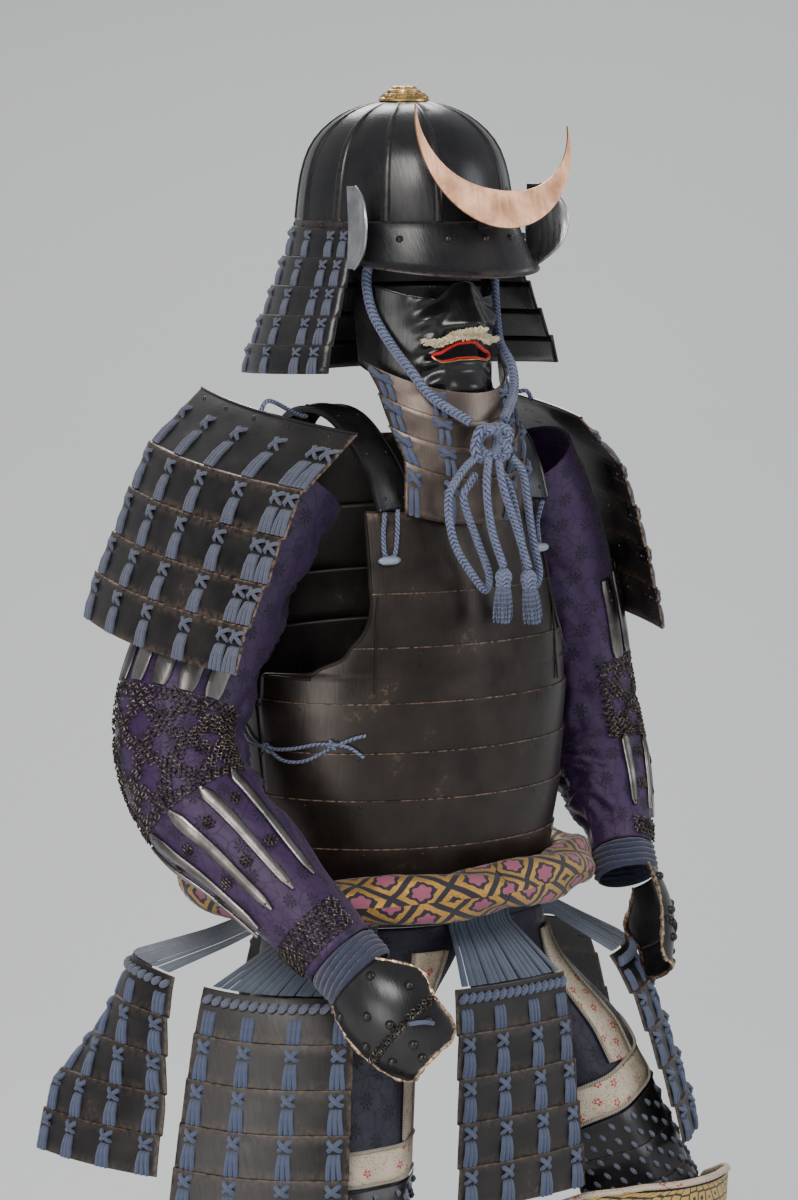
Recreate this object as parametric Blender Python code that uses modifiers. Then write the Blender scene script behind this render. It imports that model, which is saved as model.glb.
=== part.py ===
"""Samurai armour, worn but empty. Metres, +Z up, facing -Y, the wearer's right at -X.

The origin is the middle of the wearer's shoulder line. Sizes below are in millimetres.
"""

import math

import bmesh
import bpy
from mathutils import Matrix, Vector

MM = 0.001
GAP = 0.3
PLATE = 2.2
CLOTH = 2.4
LACED_STEP = 4.2
RIVETED_STEP = 2.0

for old in list(bpy.data.objects):
    bpy.data.objects.remove(old, do_unlink=True)

parts = bpy.data.collections.new("samurai_armour")
bpy.context.scene.collection.children.link(parts)


# Materials: colour, roughness, metallic

LOOKS = {
    "black_lacquer": ((0.012, 0.012, 0.014), 0.28, 0.5),
    "brown_lacquer": ((0.075, 0.045, 0.032), 0.42, 0.6),
    "polished_steel": ((0.42, 0.43, 0.45), 0.30, 1.0),
    "gilt_copper": ((0.62, 0.36, 0.20), 0.32, 1.0),
    "gilt": ((0.55, 0.40, 0.16), 0.35, 1.0),
    "mail": ((0.16, 0.16, 0.17), 0.5, 0.9),
    "fur": ((0.62, 0.56, 0.44), 0.95, 0.0),
    "braid": ((0.20, 0.27, 0.36), 0.85, 0.0),
    "purple_brocade": ((0.055, 0.030, 0.085), 0.8, 0.0),
    "gold_brocade": ((0.30, 0.21, 0.13), 0.75, 0.0),
    "navy_cloth": ((0.015, 0.018, 0.040), 0.85, 0.0),
    "blue_lace": ((0.22, 0.36, 0.52), 0.85, 0.0),
    "cream_leather": ((0.62, 0.56, 0.46), 0.7, 0.0),
}


def material(look):
    """The Principled material of this name, made on first use."""
    if look in bpy.data.materials:
        return bpy.data.materials[look]
    colour, roughness, metallic = LOOKS[look]
    made = bpy.data.materials.new(look)
    made.use_nodes = True
    shader = made.node_tree.nodes["Principled BSDF"]
    shader.inputs["Base Color"].default_value = (*colour, 1.0)
    shader.inputs["Roughness"].default_value = roughness
    shader.inputs["Metallic"].default_value = metallic
    made.diffuse_color = (*colour, 1.0)
    return made


def add_object(name, data, look):
    made = bpy.data.objects.new(name, data)
    data.materials.append(material(look))
    parts.objects.link(made)
    return made


def read(table, at, column=1):
    """Reads a column of a table whose first column rises, in straight lines between its rows."""
    if at <= table[0][0]:
        return table[0][column]
    for low, high in zip(table, table[1:]):
        if at <= high[0]:
            share = (at - low[0]) / (high[0] - low[0])
            return low[column] + share * (high[column] - low[column])
    return table[-1][column]


def steps(first, last, count):
    return [first + (last - first) * k / count for k in range(count + 1)]


def lames(first, last, count, step, top_step=None):
    """Rows down a guard of overlapping strips: each starts a step further out than the last one ends."""
    rows = []
    for k in range(count):
        rows.append((first + (last - first) * k / count, step))
        rows.append((first + (last - first) * (k + 1) / count, 0.0))
    if top_step is not None:
        rows[0] = (first, top_step)
    return rows


def around(half_x, half_y, angle, out=0.0):
    """A point on an ellipse: angle 0 is the front, 90 the wearer's left."""
    turn = math.radians(angle)
    return Vector(((half_x + out) * math.sin(turn), -(half_y + out) * math.cos(turn), 0.0))


def smooth_at(points, share):
    """A point of the smooth curve through these points."""
    reach = share * (len(points) - 1)
    k = min(int(reach), len(points) - 2)
    t = reach - k
    p1, p2 = Vector(points[k]), Vector(points[k + 1])
    p0 = Vector(points[k - 1]) if k else 2 * p1 - p2
    p3 = Vector(points[k + 2]) if k + 2 < len(points) else 2 * p2 - p1
    return 0.5 * (2 * p1 + (p2 - p0) * t + (2 * p0 - 5 * p1 + 4 * p2 - p3) * t**2
                  + (3 * p1 - p0 - 3 * p2 + p3) * t**3)


def shade(mesh, angle=40):
    mesh.shade_smooth()
    mesh.set_sharp_from_angle(angle=math.radians(angle))


def panel(name, look, place, across, down, thickness, closed=False, keep=None):
    """A sheet: a flat grid whose points a formula places, outer face first, then its thickness inwards."""
    columns, rows = len(across) - 1, len(down) - 1
    sheet = bmesh.new()
    bmesh.ops.create_grid(sheet, x_segments=columns, y_segments=rows, size=0.5)
    seats = {}
    for vert in sheet.verts:
        i = round((vert.co.x + 0.5) * columns)
        j = round((0.5 - vert.co.y) * rows)
        seats[vert] = (i, j)
    if keep:
        away = []
        for face in sheet.faces:
            i = min(seats[v][0] for v in face.verts)
            j = min(seats[v][1] for v in face.verts)
            if not keep(i, j):
                away.append(face)
        bmesh.ops.delete(sheet, geom=away, context="FACES")
    for vert in sheet.verts:
        i, j = seats[vert]
        vert.co = Vector(place(across[i], down[j])) * MM
    if closed:
        bmesh.ops.remove_doubles(sheet, verts=sheet.verts[:], dist=0.00001)
    mesh = bpy.data.meshes.new(name)
    sheet.to_mesh(mesh)
    sheet.free()
    made = add_object(name, mesh, look)
    skin = made.modifiers.new("thickness", "SOLIDIFY")
    skin.thickness = thickness * MM
    skin.offset = -1
    shade(mesh)
    return made


def mirror_point(point):
    return Vector((-point[0], point[1], point[2]))


def both_sides(name, look, place, across, down, thickness, **more):
    """A panel for the wearer's left from the formula, and its mirror image for the right."""
    panel(name + "_l", look, place, across, down, thickness, **more)
    panel(name + "_r", look, lambda u, v: mirror_point(place(u, v)), across[::-1], down, thickness, **more)


def cord(name, look, points, diameter, count, resolution=2):
    """A cord along the smooth curve through hand-placed points."""
    curve = bpy.data.curves.new(name, "CURVE")
    curve.dimensions = "3D"
    curve.bevel_depth = diameter / 2 * MM
    curve.bevel_resolution = resolution
    curve.use_fill_caps = True
    line = curve.splines.new("POLY")
    line.points.add(count - 1)
    for k, point in enumerate(line.points):
        point.co = (*(smooth_at(points, k / (count - 1)) * MM), 1.0)
    return add_object(name, curve, look)


# Helmet: bowl of plates with raised ribs, brow band below

BOWL_X, BOWL_Y = 112.0, 130.0
BOWL_PROFILE = [(205.0, 1.012), (220.0, 1.012), (222.0, 0.995), (266.0, 0.96), (305.0, 0.82),
                (336.0, 0.55), (351.0, 0.12)]
RIBS = [24, 52, 80, 108, 136, 164, 196, 224, 252, 280, 308, 336]
RIB_HEIGHT, RIB_HALF = 2.6, 2.2


def bowl_point(spot, row):
    angle, rib = spot
    height, share = row
    rise = rib * RIB_HEIGHT if 221.0 <= height < 350.0 else 0.0
    return around(BOWL_X * share, BOWL_Y * share, angle, rise) + Vector((0, 0, height))


bowl_columns = []
for rib_angle in RIBS:
    bowl_columns += [(rib_angle - RIB_HALF, 0), (rib_angle, 1), (rib_angle + RIB_HALF, 0)]
bowl_columns.append((RIBS[0] + 360 - RIB_HALF, 0))
panel("helmet_bowl", "black_lacquer", bowl_point, bowl_columns, BOWL_PROFILE[::-1], PLATE, closed=True)

# Crown ornament: stepped rings, a turned shell that stands on the bowl's crown

CROWN_PROFILE = [(9.0, 366.0), (12.5, 366.5), (13.5, 363.0), (17.0, 362.5), (18.5, 358.5), (22.5, 358.0),
                 (24.5, 354.0), (28.0, 352.5), (28.0, 350.2), (14.0, 352.0), (9.0, 352.2)]


def turned(name, look, profile, segments):
    """A closed profile of radius and height turned round the Z axis."""
    lathe = bmesh.new()
    ring = [lathe.verts.new((radius * MM, 0, height * MM)) for radius, height in profile]
    edges = [lathe.edges.new((a, b)) for a, b in zip(ring, ring[1:] + ring[:1])]
    bmesh.ops.spin(lathe, geom=ring + edges, cent=(0, 0, 0), axis=(0, 0, 1), angle=math.tau,
                   steps=segments, use_merge=True)
    bmesh.ops.recalc_face_normals(lathe, faces=lathe.faces[:])
    mesh = bpy.data.meshes.new(name)
    lathe.to_mesh(mesh)
    lathe.free()
    shade(mesh)
    return add_object(name, mesh, look)


turned("crown_ornament", "gilt", CROWN_PROFILE, 12)

# Brow plate: steep, with a rolled lower edge

BRIM_ANGLE = 65.0
BRIM_TOP = 221.5
BRIM_ROWS = [(0.0, 0.0), (0.45, 0.0), (0.88, 0.0), (0.94, 4.5), (1.0, 5.0)]


def brim_point(angle, row):
    share, lip = row
    sideways = abs(angle) / BRIM_ANGLE
    drop = 58.0 - 15.0 * sideways**2
    reach = (26.0 - 12.0 * sideways**2) * share
    seat = PLATE + 3 * GAP
    flat = around(BOWL_X * 1.012, BOWL_Y * 1.012, angle, seat + reach + lip)
    return flat + Vector((0, 0, BRIM_TOP - drop * share - lip * 0.2))


panel("helmet_brim", "black_lacquer", brim_point, steps(-BRIM_ANGLE, BRIM_ANGLE, 12), BRIM_ROWS, PLATE)

# Neck guard: five laced lames that flare from the bowl's band

GUARD_ANGLE = 66.5
GUARD_SIZES = [(0.0, 113.4, 131.6), (0.2, 121.0, 138.0), (0.5, 141.0, 154.0), (0.8, 162.0, 172.0),
               (1.0, 173.0, 182.0)]
GUARD_TOP, GUARD_BOTTOM = 214.0, 62.0


def guard_point(angle, row, out=0.0):
    share, step = row
    back = 1 - abs(angle - 180) / (180 - GUARD_ANGLE)
    height = GUARD_TOP + (GUARD_BOTTOM - 16.0 * back - GUARD_TOP) * share
    flat = around(read(GUARD_SIZES, share, 1), read(GUARD_SIZES, share, 2), angle, PLATE + GAP + step + out)
    return flat + Vector((0, 0, height))


GUARD_ROWS = lames(0.0, 1.0, 5, LACED_STEP, 2 * GAP)
panel("neck_guard", "black_lacquer", guard_point, steps(GUARD_ANGLE, 360 - GUARD_ANGLE, 16), GUARD_ROWS,
      PLATE)

# Turn-backs: leaves that curl back from the guard's front edges

LEAF_ROWS = [(0.0, 0.35), (0.12, 0.7), (0.3, 0.95), (0.5, 1.0), (0.7, 0.9), (0.88, 0.62), (1.0, 0.3)]
LEAF_TOP, LEAF_TALL, LEAF_WIDE = 260.0, 88.0, 52.0
LEAF_BASE = (123.6, -61.0)


def leaf_point(across, row):
    """A leaf's point: across runs from its hinge at the guard's edge to its free edge, which bends outwards."""
    share, width = row
    curl = across * width
    height = LEAF_TOP - LEAF_TALL * share
    bend = 16.0 * curl**2 + 0.05 * abs(height - GUARD_TOP)
    return Vector((LEAF_BASE[0] + bend, LEAF_BASE[1] - LEAF_WIDE * curl, height))


both_sides("turnback", "polished_steel", leaf_point, steps(1.0, 0.0, 4), LEAF_ROWS, 2.0)

# Crest: a crescent cut from sheet, leaning back on the brow, with its holder

CREST_RADIUS = 105.0
CREST_SWEEP = 101
CREST_WIDE = 42.0
CREST_HALF_THICK = 1.1
CREST_FOOT = Vector((0.0, -168.0, 216.0))
CREST_LEAN, CREST_ROLL = math.radians(16), math.radians(7)


def crest_outline():
    outer, inner = [], []
    for angle in steps(-CREST_SWEEP, CREST_SWEEP, 24):
        turn = math.radians(angle)
        outer.append((CREST_RADIUS * math.sin(turn), CREST_RADIUS * (1 - math.cos(turn))))
    for angle in steps(CREST_SWEEP - 2, -CREST_SWEEP + 2, 24):
        turn = math.radians(angle)
        thin = CREST_RADIUS - CREST_WIDE * math.cos(math.radians(angle * 90 / (CREST_SWEEP + 2))) ** 1.4
        inner.append((thin * math.sin(turn), CREST_RADIUS - thin * math.cos(turn)))
    return outer + inner


def cut_sheet(name, look, outline, half_thick, place):
    """A flat outline filled on both sides and given its thickness."""
    curve = bpy.data.curves.new(name, "CURVE")
    curve.dimensions = "2D"
    curve.fill_mode = "BOTH"
    curve.extrude = half_thick * MM
    line = curve.splines.new("POLY")
    line.points.add(len(outline) - 1)
    for point, (x, y) in zip(line.points, outline):
        point.co = (x * MM, y * MM, 0.0, 1.0)
    line.use_cyclic_u = True
    made = add_object(name, curve, look)
    made.matrix_world = place
    return made


crest_place = (Matrix.Translation(CREST_FOOT * MM) @ Matrix.Rotation(-CREST_LEAN, 4, "X")
               @ Matrix.Rotation(CREST_ROLL, 4, "Y") @ Matrix.Rotation(math.pi / 2, 4, "X"))
cut_sheet("crest", "gilt_copper", crest_outline(), CREST_HALF_THICK, crest_place)

# Crest holder: a block from the brow plate to the crest's back

HOLDER_SIZE = (16.0, 27.3, 9.0)
HOLDER_RISE = 10.0


def crest_holder():
    block = bmesh.new()
    bmesh.ops.create_cube(block, size=1.0)
    wide, long, tall = HOLDER_SIZE
    shape = Matrix.Diagonal((wide * MM, long * MM, tall * MM, 1))
    back = (CREST_HALF_THICK + GAP + long / 2) * MM
    block.transform(Matrix.Translation(CREST_FOOT * MM) @ Matrix.Rotation(-CREST_LEAN, 4, "X")
                    @ Matrix.Translation((0, back, HOLDER_RISE * MM)) @ shape)
    mesh = bpy.data.meshes.new("crest_holder")
    block.to_mesh(mesh)
    block.free()
    add_object("crest_holder", mesh, "black_lacquer")


crest_holder()

# The face's own section, which the mask, the throat guard and the chin cord follow

FACE = [(-130.0, 158.0, 119.5), (-100.0, 148.0, 122.0), (-60.0, 128.0, 125.0), (-40.0, 116.0, 126.0),
        (0.0, 97.0, 122.0), (40.0, 84.0, 114.0), (80.0, 88.0, 108.0), (120.0, 92.0, 104.0), (170.0, 93.0,
         103.0)]


def face_point(angle, height, out=0.0):
    flat = around(read(FACE, height, 1), read(FACE, height, 2), angle, out)
    return flat + Vector((0, 0, height))


# Mask: one hammered sheet with nose, cheek folds, open mouth and chin

NOSE = [(88.0, 0.0), (101.0, 5.0), (106.0, 23.0), (113.0, 28.0), (130.0, 17.0), (148.0, 8.0), (158.0, 3.0)]
MASK_ANGLES = [-76, -58, -44, -34, -26, -18, -11, -5, 0, 5, 11, 18, 26, 34, 44, 58, 76]
MASK_ROWS = [0.0, 0.12, 0.22, 0.31, 0.37, 0.43, 0.50, 0.63, 0.70, 0.80, 0.90, 1.0]
MOUTH_ROWS = (6,)
MOUTH_COLUMNS = range(4, 12)


def mask_height(angle, share):
    side = abs(angle)
    top = read([(0, 158.0), (8, 155.0), (20, 138.0), (40, 143.0), (76, 160.0)], side)
    bottom = read([(0, 26.0), (30, 29.0), (55, 46.0), (76, 68.0)], side)
    return top + (bottom - top) * share


def mask_point(angle, share, out=0.0):
    height = mask_height(angle, share)
    side = abs(angle)
    width = 4.0 + 8.5 * max(0.0, 1 - abs(height - 110.0) / 50.0)
    bridge = read(NOSE, height) * math.exp(-((side / width) ** 2) / 1.6)
    cheek = 8.5 * math.exp(-(((side - 27) / 12) ** 2) - ((height - 114) / 20) ** 2)
    fold = 3.2 * math.exp(-(((side - 26) / 9) ** 2)) * math.cos((height + side * 0.8) * 0.27)
    lips = 6.0 * math.exp(-((side / 22) ** 2)) * (math.exp(-(((height - 94) / 5) ** 2))
                                                 + math.exp(-(((height - 69) / 6) ** 2)))
    chin = 11.0 * math.exp(-((side / 18) ** 2) - ((height - 44) / 13) ** 2)
    rim = -2.0 * math.exp(-(((height - 26) / 6) ** 2)) * math.exp(-((side / 26) ** 2))
    return face_point(angle, height, bridge + cheek + fold * 0.8 + lips + chin + rim + out)


def outside_mouth(column, row):
    return not (row in MOUTH_ROWS and column in MOUTH_COLUMNS)


panel("mask", "black_lacquer", mask_point, MASK_ANGLES, MASK_ROWS, 2.0, keep=outside_mouth)

# Throat guard: four laced lames that hang from the mask's jaw

THROAT_WIDTH = [(0.0, 67.0), (0.42, 51.5), (0.65, 40.5), (1.0, 34.0)]
THROAT_TOP, THROAT_BOTTOM = 38.0, -104.0


def throat_point(across, row, out=0.0):
    share, step = row
    rise = 34.0 * across**2 * (1 - 0.55 * share)
    height = THROAT_TOP + rise + (THROAT_BOTTOM - THROAT_TOP) * share
    return face_point(across * read(THROAT_WIDTH, share), height, 15.6 - 2.6 * share + step + out)


THROAT_ROWS = [(0.0, 0.0), (0.21, 0.0), (0.21, LACED_STEP), (0.42, 0.0), (0.42, LACED_STEP), (0.65, 0.0),
               (0.65, LACED_STEP), (1.0, 0.0)]
panel("throat_guard", "brown_lacquer", throat_point, steps(-1.0, 1.0, 10), THROAT_ROWS, PLATE)

# Cuirass: riveted strips, front and back halves, the armholes left open

TORSO = [(-505.0, 174.0, 133.0), (-470.0, 180.0, 138.0), (-400.0, 192.0, 144.0), (-300.0, 199.0, 146.0),
         (-200.0, 190.0, 140.0), (-140.0, 170.0, 131.0), (-90.0, 158.0, 122.0), (-40.0, 146.0,
          112.0), (0.0, 132.0, 96.0)]
SEAM = 89.8
FRONT_WIDTH = [(-505.0, SEAM), (-266.0, SEAM), (-262.0, 66.0), (-245.0, 52.0), (-215.0, 44.0),
               (-190.0, 42.0), (-88.0, 48.0)]
BACK_WIDTH = [(-505.0, SEAM), (-266.0, SEAM), (-262.0, 72.0), (-245.0, 62.0), (-190.0, 55.0), (-30.0, 46.0)]
FRONT_LINES = [-88.0, -174.0, -232.0, -292.0, -346.0, -398.0, -452.0, -503.0]
EXTRA_ROWS = [-245.0, -262.0, -266.0]


def torso_point(angle, height, out=0.0):
    return around(read(TORSO, height, 1), read(TORSO, height, 2), angle, out) + Vector((0, 0, height))


def strip_rows(lines, extra):
    """Rows down riveted strips: each strip's top edge stands a step out from the strip above it."""
    rows = [(lines[0], RIVETED_STEP)]
    for top, bottom in zip(lines, lines[1:]):
        for height in sorted((h for h in extra if bottom < h < top), reverse=True):
            rows.append((height, RIVETED_STEP * (height - bottom) / (top - bottom)))
        rows.append((bottom, 0.0))
        if bottom != lines[-1]:
            rows.append((bottom, RIVETED_STEP))
    return rows


def front_point(across, row):
    return torso_point(across * read(FRONT_WIDTH, row[0]), row[0], row[1])


def back_point(across, row):
    return torso_point(180 + across * read(BACK_WIDTH, row[0]), row[0], row[1])


BACK_LINES = [-22.0, -100.0, -174.0, -232.0, -292.0, -346.0, -398.0, -452.0, -503.0]
panel("cuirass_front", "brown_lacquer", front_point, steps(-1.0, 1.0, 10),
      strip_rows(FRONT_LINES, EXTRA_ROWS), 2.0)
panel("cuirass_back", "brown_lacquer", back_point, steps(-1.0, 1.0, 10),
      strip_rows(BACK_LINES, EXTRA_ROWS), 2.0)

# Shoulder straps: padded plates from the back plate over the shoulder

STRAP_ROUTE = [(92.0, 81.6, -17.6), (96.0, 58.0, 6.0), (99.0, 20.0, 16.0), (100.0, -22.0, 10.0),
               (99.0, -58.0, -14.0),
               (96.0, -87.0, -48.0), (94.0, -103.2, -84.5)]


def strap_point(across, share):
    middle = smooth_at(STRAP_ROUTE, share)
    return middle + Vector((across * 24.0, 0, -3.0 * abs(across)))


both_sides("shoulder_strap", "black_lacquer", strap_point, steps(1.0, -1.0, 2), steps(0.0, 1.0, 8), 7.0)

# Arms: a brocade sleeve, with splints and mail over its outer side

ARM_L = [(165, 0, -52), (200, 4, -108), (242, 12, -205), (268, 14, -310), (280, 0, -385), (275, -34, -442),
         (262, -70, -500)]
ARM_R = [(-168, 0, -52), (-205, 4, -108), (-252, 10, -205), (-296, 10, -310), (-304, -28, -386),
         (-278, -92, -446),
         (-232, -188, -540)]
SLEEVE_HALF = [(0.0, 74.0), (0.15, 73.0), (0.45, 71.0), (0.6, 68.0), (0.75, 64.0), (0.9, 50.0), (1.0, 41.0)]
SLIM = {1: 0.86, -1: 1.0}


def side_of(route):
    return 1 if route[0][0] > 0 else -1


def arm_frame(route, share):
    """The middle of the arm, and its outward, sideways and lengthwise directions."""
    middle = smooth_at(route, share)
    ahead = (smooth_at(route, min(1.0, share + 0.03)) - smooth_at(route, max(0.0, share - 0.03))).normalized()
    outward = Vector((side_of(route), -0.30, 0.25))
    outward = (outward - outward.dot(ahead) * ahead).normalized()
    return middle, outward, outward.cross(ahead), ahead


def sleeve_point(route, angle, share, out=0.0):
    """A point of the sleeve: angle 0 is the arm's outer side."""
    middle, outward, sideways, _ = arm_frame(route, share)
    turn = math.radians(angle)
    inner = max(0.0, -math.cos(turn))
    fold = 5.0 * inner * math.sin(share * 46.0) * math.sin(math.pi * share) ** 0.5
    bag = 9.0 * inner * math.exp(-(((share - 0.72) / 0.16) ** 2))
    reach = (read(SLEEVE_HALF, share) + fold + bag) * SLIM[side_of(route)] + out
    return middle + (outward * math.cos(turn) + sideways * math.sin(turn)) * reach


SLEEVE_ANGLES = steps(-180, 180, 16)
SLEEVE_SHARES = steps(0.0, 1.0, 13)
UPPER_SHARES = SLEEVE_SHARES[4:7]
ELBOW_SHARES = SLEEVE_SHARES[6:10]
LOWER_SHARES = SLEEVE_SHARES[9:13]
PLATE_RISE, MAIL_RISE = 3.6, 1.9
SEAT = 0.6


def splint_columns(first, last, count, gap):
    """Columns across a row of raised splints with mail between them, as (angle, rise)."""
    pitch = (last - first) / count
    columns = []
    for k in range(count):
        start = first + pitch * k
        columns += [(start, MAIL_RISE), (start + gap, PLATE_RISE), (start + pitch - gap, PLATE_RISE)]
    return columns + [(last, MAIL_RISE)]


for side, route in (("l", ARM_L), ("r", ARM_R)):
    panel("sleeve_" + side, "purple_brocade", lambda u, v, route=route: sleeve_point(route, u, v),
          SLEEVE_ANGLES, SLEEVE_SHARES, CLOTH, closed=True)
    for name, look, columns, shares in (
        ("upper_splints_", "polished_steel", splint_columns(-72, 72, 6, 5), UPPER_SHARES),
        ("elbow_mail_", "mail", [(a, MAIL_RISE) for a in steps(-90, 90, 8)], ELBOW_SHARES),
        ("forearm_splints_", "polished_steel", splint_columns(-90, 90, 5, 7), LOWER_SHARES),
    ):
        trimmed = [shares[0] + 0.004] + shares[1:-1] + [shares[-1] - 0.004]
        panel(name + side, look,
              lambda u, v, route=route: sleeve_point(route, u[0], v, SEAT + u[1]),
              columns, trimmed, 1.7)

# Wrist wrap: a band of cloth at the sleeve's end, the hand guard beyond it

WRAP_HALF, WRAP_LONG = 36.5, 34.0
WRAP_ROWS = [(0.0, 3.6), (0.3, 4.6), (0.65, 3.6), (1.0, 3.0)]


def wrap_point(route, angle, row):
    """A point of the wrap: a row is its share of the length and the bulge there."""
    middle, outward, sideways, ahead = arm_frame(route, 1.0)
    turn = math.radians(angle)
    reach = WRAP_HALF * SLIM[side_of(route)] + row[1]
    round_wrist = (outward * math.cos(turn) + sideways * math.sin(turn)) * reach
    return middle + ahead * (GAP + WRAP_LONG * row[0]) + round_wrist


HAND_ROWS = [(0.0, 44.0), (0.12, 54.0), (0.3, 60.0), (0.5, 62.0), (0.7, 61.0), (0.86, 56.0), (0.95, 48.0),
             (1.0, 34.0)]
HAND_LONG, HAND_ARCH = 116.0, 52.0
HAND_DROP = {1: 4.0, -1: 16.0}


def hand_point(route, across, row):
    """The hand guard: a shallow dome over the back of the hand, and a lobe for the thumb."""
    middle, outward, sideways, ahead = arm_frame(route, 1.0)
    share, half = row
    lobe = 16.0 * max(0.0, across) * math.exp(-(((share - 0.35) / 0.2) ** 2))
    arch = math.radians(across * (HAND_ARCH + lobe))
    radius = half / math.sin(math.radians(HAND_ARCH)) * 0.82
    side = side_of(route)
    dome = 40.0 * SLIM[side] + 9.0 * math.sin(math.pi * min(1.0, share * 1.1))
    base = middle + ahead * (34.6 + GAP + HAND_LONG * share) + outward * (dome - radius)
    return base + (outward * math.cos(arch) + sideways * math.sin(arch)) * radius - outward * HAND_DROP[side] * share**2


for side, route in (("l", ARM_L), ("r", ARM_R)):
    panel("wrist_wrap_" + side, "navy_cloth", lambda u, v, route=route: wrap_point(route, u, v),
          steps(-180, 180, 12), WRAP_ROWS, 2.0, closed=True)
    panel("hand_guard_" + side, "black_lacquer", lambda u, v, route=route: hand_point(route, u, v),
          steps(-1.0, 1.0, 6), HAND_ROWS, PLATE)

# Shoulder shields: a top plate and five laced lames, hung outside the upper arm

SODE_SHAPE = {
    # share of the length down, distance out from the body's middle, height
    "r": [(0.0, 199.0, 19.0), (0.26, 268.0, -36.0), (0.45, 295.0, -84.0), (0.63, 317.0, -132.0),
          (0.80, 340.0, -174.0),
          (1.0, 359.0, -223.0)],
    "l": [(0.0, 196.0, 17.0), (0.26, 254.0, -36.0), (0.45, 276.0, -84.0), (0.63, 294.0, -132.0),
          (0.80, 308.0, -180.0),
          (1.0, 322.0, -229.0)],
}
SODE_BACK = {"r": 0.0, "l": 42.0}
SODE_IN = {"r": 3.2, "l": 0.0}
SODE_HALF, SODE_BOW = 141.0, 24.0
SODE_TILT = 0.12
SODE_ROWS = [(0.0, 2.0), (0.13, 1.0), (0.26, 0.0)] + [(0.26, LACED_STEP), (0.45, 0.0), (0.45, LACED_STEP),
             (0.63, 0.0),
             (0.63, LACED_STEP), (0.80, 0.0), (0.80, LACED_STEP), (1.0, 0.0)]


def sode_point(side, across, row, out=0.0):
    """A point of the shield: across runs from its front edge, -1, to its back edge, 1."""
    share, step = row
    hand = 1 if side == "l" else -1
    shape = SODE_SHAPE[side]
    reach = read(shape, share, 1) + step + out - SODE_BOW * across**2 - SODE_IN[side]
    height = read(shape, share, 2) + SODE_TILT * across * SODE_HALF
    return Vector((hand * reach, across * SODE_HALF + SODE_BACK[side], height))


for side, columns in (("l", steps(-1.0, 1.0, 6)), ("r", steps(1.0, -1.0, 6))):
    panel("sode_" + side, "black_lacquer", lambda u, v, side=side: sode_point(side, u, v), columns,
          SODE_ROWS, PLATE)

# Sash: a twisted roll of brocade round the waist

SASH_X, SASH_Y, SASH_Z = 219.0, 184.0, -501.0
SASH_MIDDLE = Vector((-12.7, 11.7, 0.0))
SASH_HALF = 26.0


def sash_point(section, angle):
    turn = math.radians(section)
    lobe = 1 + 0.09 * math.cos(math.radians(3 * section + angle * 9))
    reach = SASH_HALF * lobe * math.cos(turn)
    sag = 4.0 * math.sin(math.radians(angle * 2 + 40))
    flat = around(SASH_X, SASH_Y, angle, reach)
    return SASH_MIDDLE + flat + Vector((0, 0, SASH_Z + sag + SASH_HALF * lobe * math.sin(turn)))


def sash():
    """A closed tube: the grid's both pairs of edges are merged."""
    sections, turns = 7, 36
    ring = bmesh.new()
    bmesh.ops.create_grid(ring, x_segments=turns, y_segments=sections, size=0.5)
    for vert in ring.verts:
        angle = (vert.co.x + 0.5) * 360
        section = (vert.co.y + 0.5) * 360
        vert.co = sash_point(section, angle) * MM
    bmesh.ops.remove_doubles(ring, verts=ring.verts[:], dist=0.00001)
    bmesh.ops.recalc_face_normals(ring, faces=ring.faces[:])
    mesh = bpy.data.meshes.new("sash")
    ring.to_mesh(mesh)
    ring.free()
    shade(mesh, 60)
    add_object("sash", mesh, "gold_brocade")


sash()

# Skirt: a laced ring below the sash that carries six tassets

SKIRT = [(0.0, 173.0, 132.0, -503.6), (0.35, 176.0, 134.0, -543.0), (0.6, 224.0, 160.0, -568.0),
         (1.0, 285.0, 188.0, -598.0)]


SWING_ANGLE, SWING_SPREAD, SWING_OUT, SWING_RISE = 250.0, 26.0, 46.0, 26.0


def skirt_point(angle, share, out=0.0):
    """A point of the skirt, which the raised tasset at the right rear pulls out and up."""
    swing = math.exp(-(((angle - SWING_ANGLE) / SWING_SPREAD) ** 2)) * max(0.0, (share - 0.35) / 0.65)
    flat = around(read(SKIRT, share, 1), read(SKIRT, share, 2), angle, out + SWING_OUT * swing)
    return flat + Vector((0, 0, read(SKIRT, share, 3) + SWING_RISE * swing))


panel("skirt_lacing", "blue_lace", skirt_point, steps(0, 360, 24), [0.0, 0.35, 0.6, 1.0], 2.0, closed=True)

TASSETS = [
    # name, middle angle, half width, the way it faces, reach at the hem, length, turn towards the way it faces
    ("tasset_1", 1.0, 15.7, 0.0, 22.0, 240.0, 0.0),
    ("tasset_2", 60.0, 21.5, 60.0, 84.0, 232.0, 0.0),
    ("tasset_3", 118.0, 21.5, 108.0, 84.0, 232.0, 0.0),
    ("tasset_4", 180.0, 15.7, 180.0, 52.0, 240.0, 0.0),
    ("tasset_5", 248.0, 21.5, 284.0, 84.0, 232.0, 0.85),
    ("tasset_6", 300.0, 21.5, 304.0, 74.0, 240.0, 0.0),
]
TASSET_HALF, TASSET_BOW = 86.0, 12.0
TASSET_ROWS = lames(0.0, 1.0, 5, LACED_STEP, 0.0)


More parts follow.
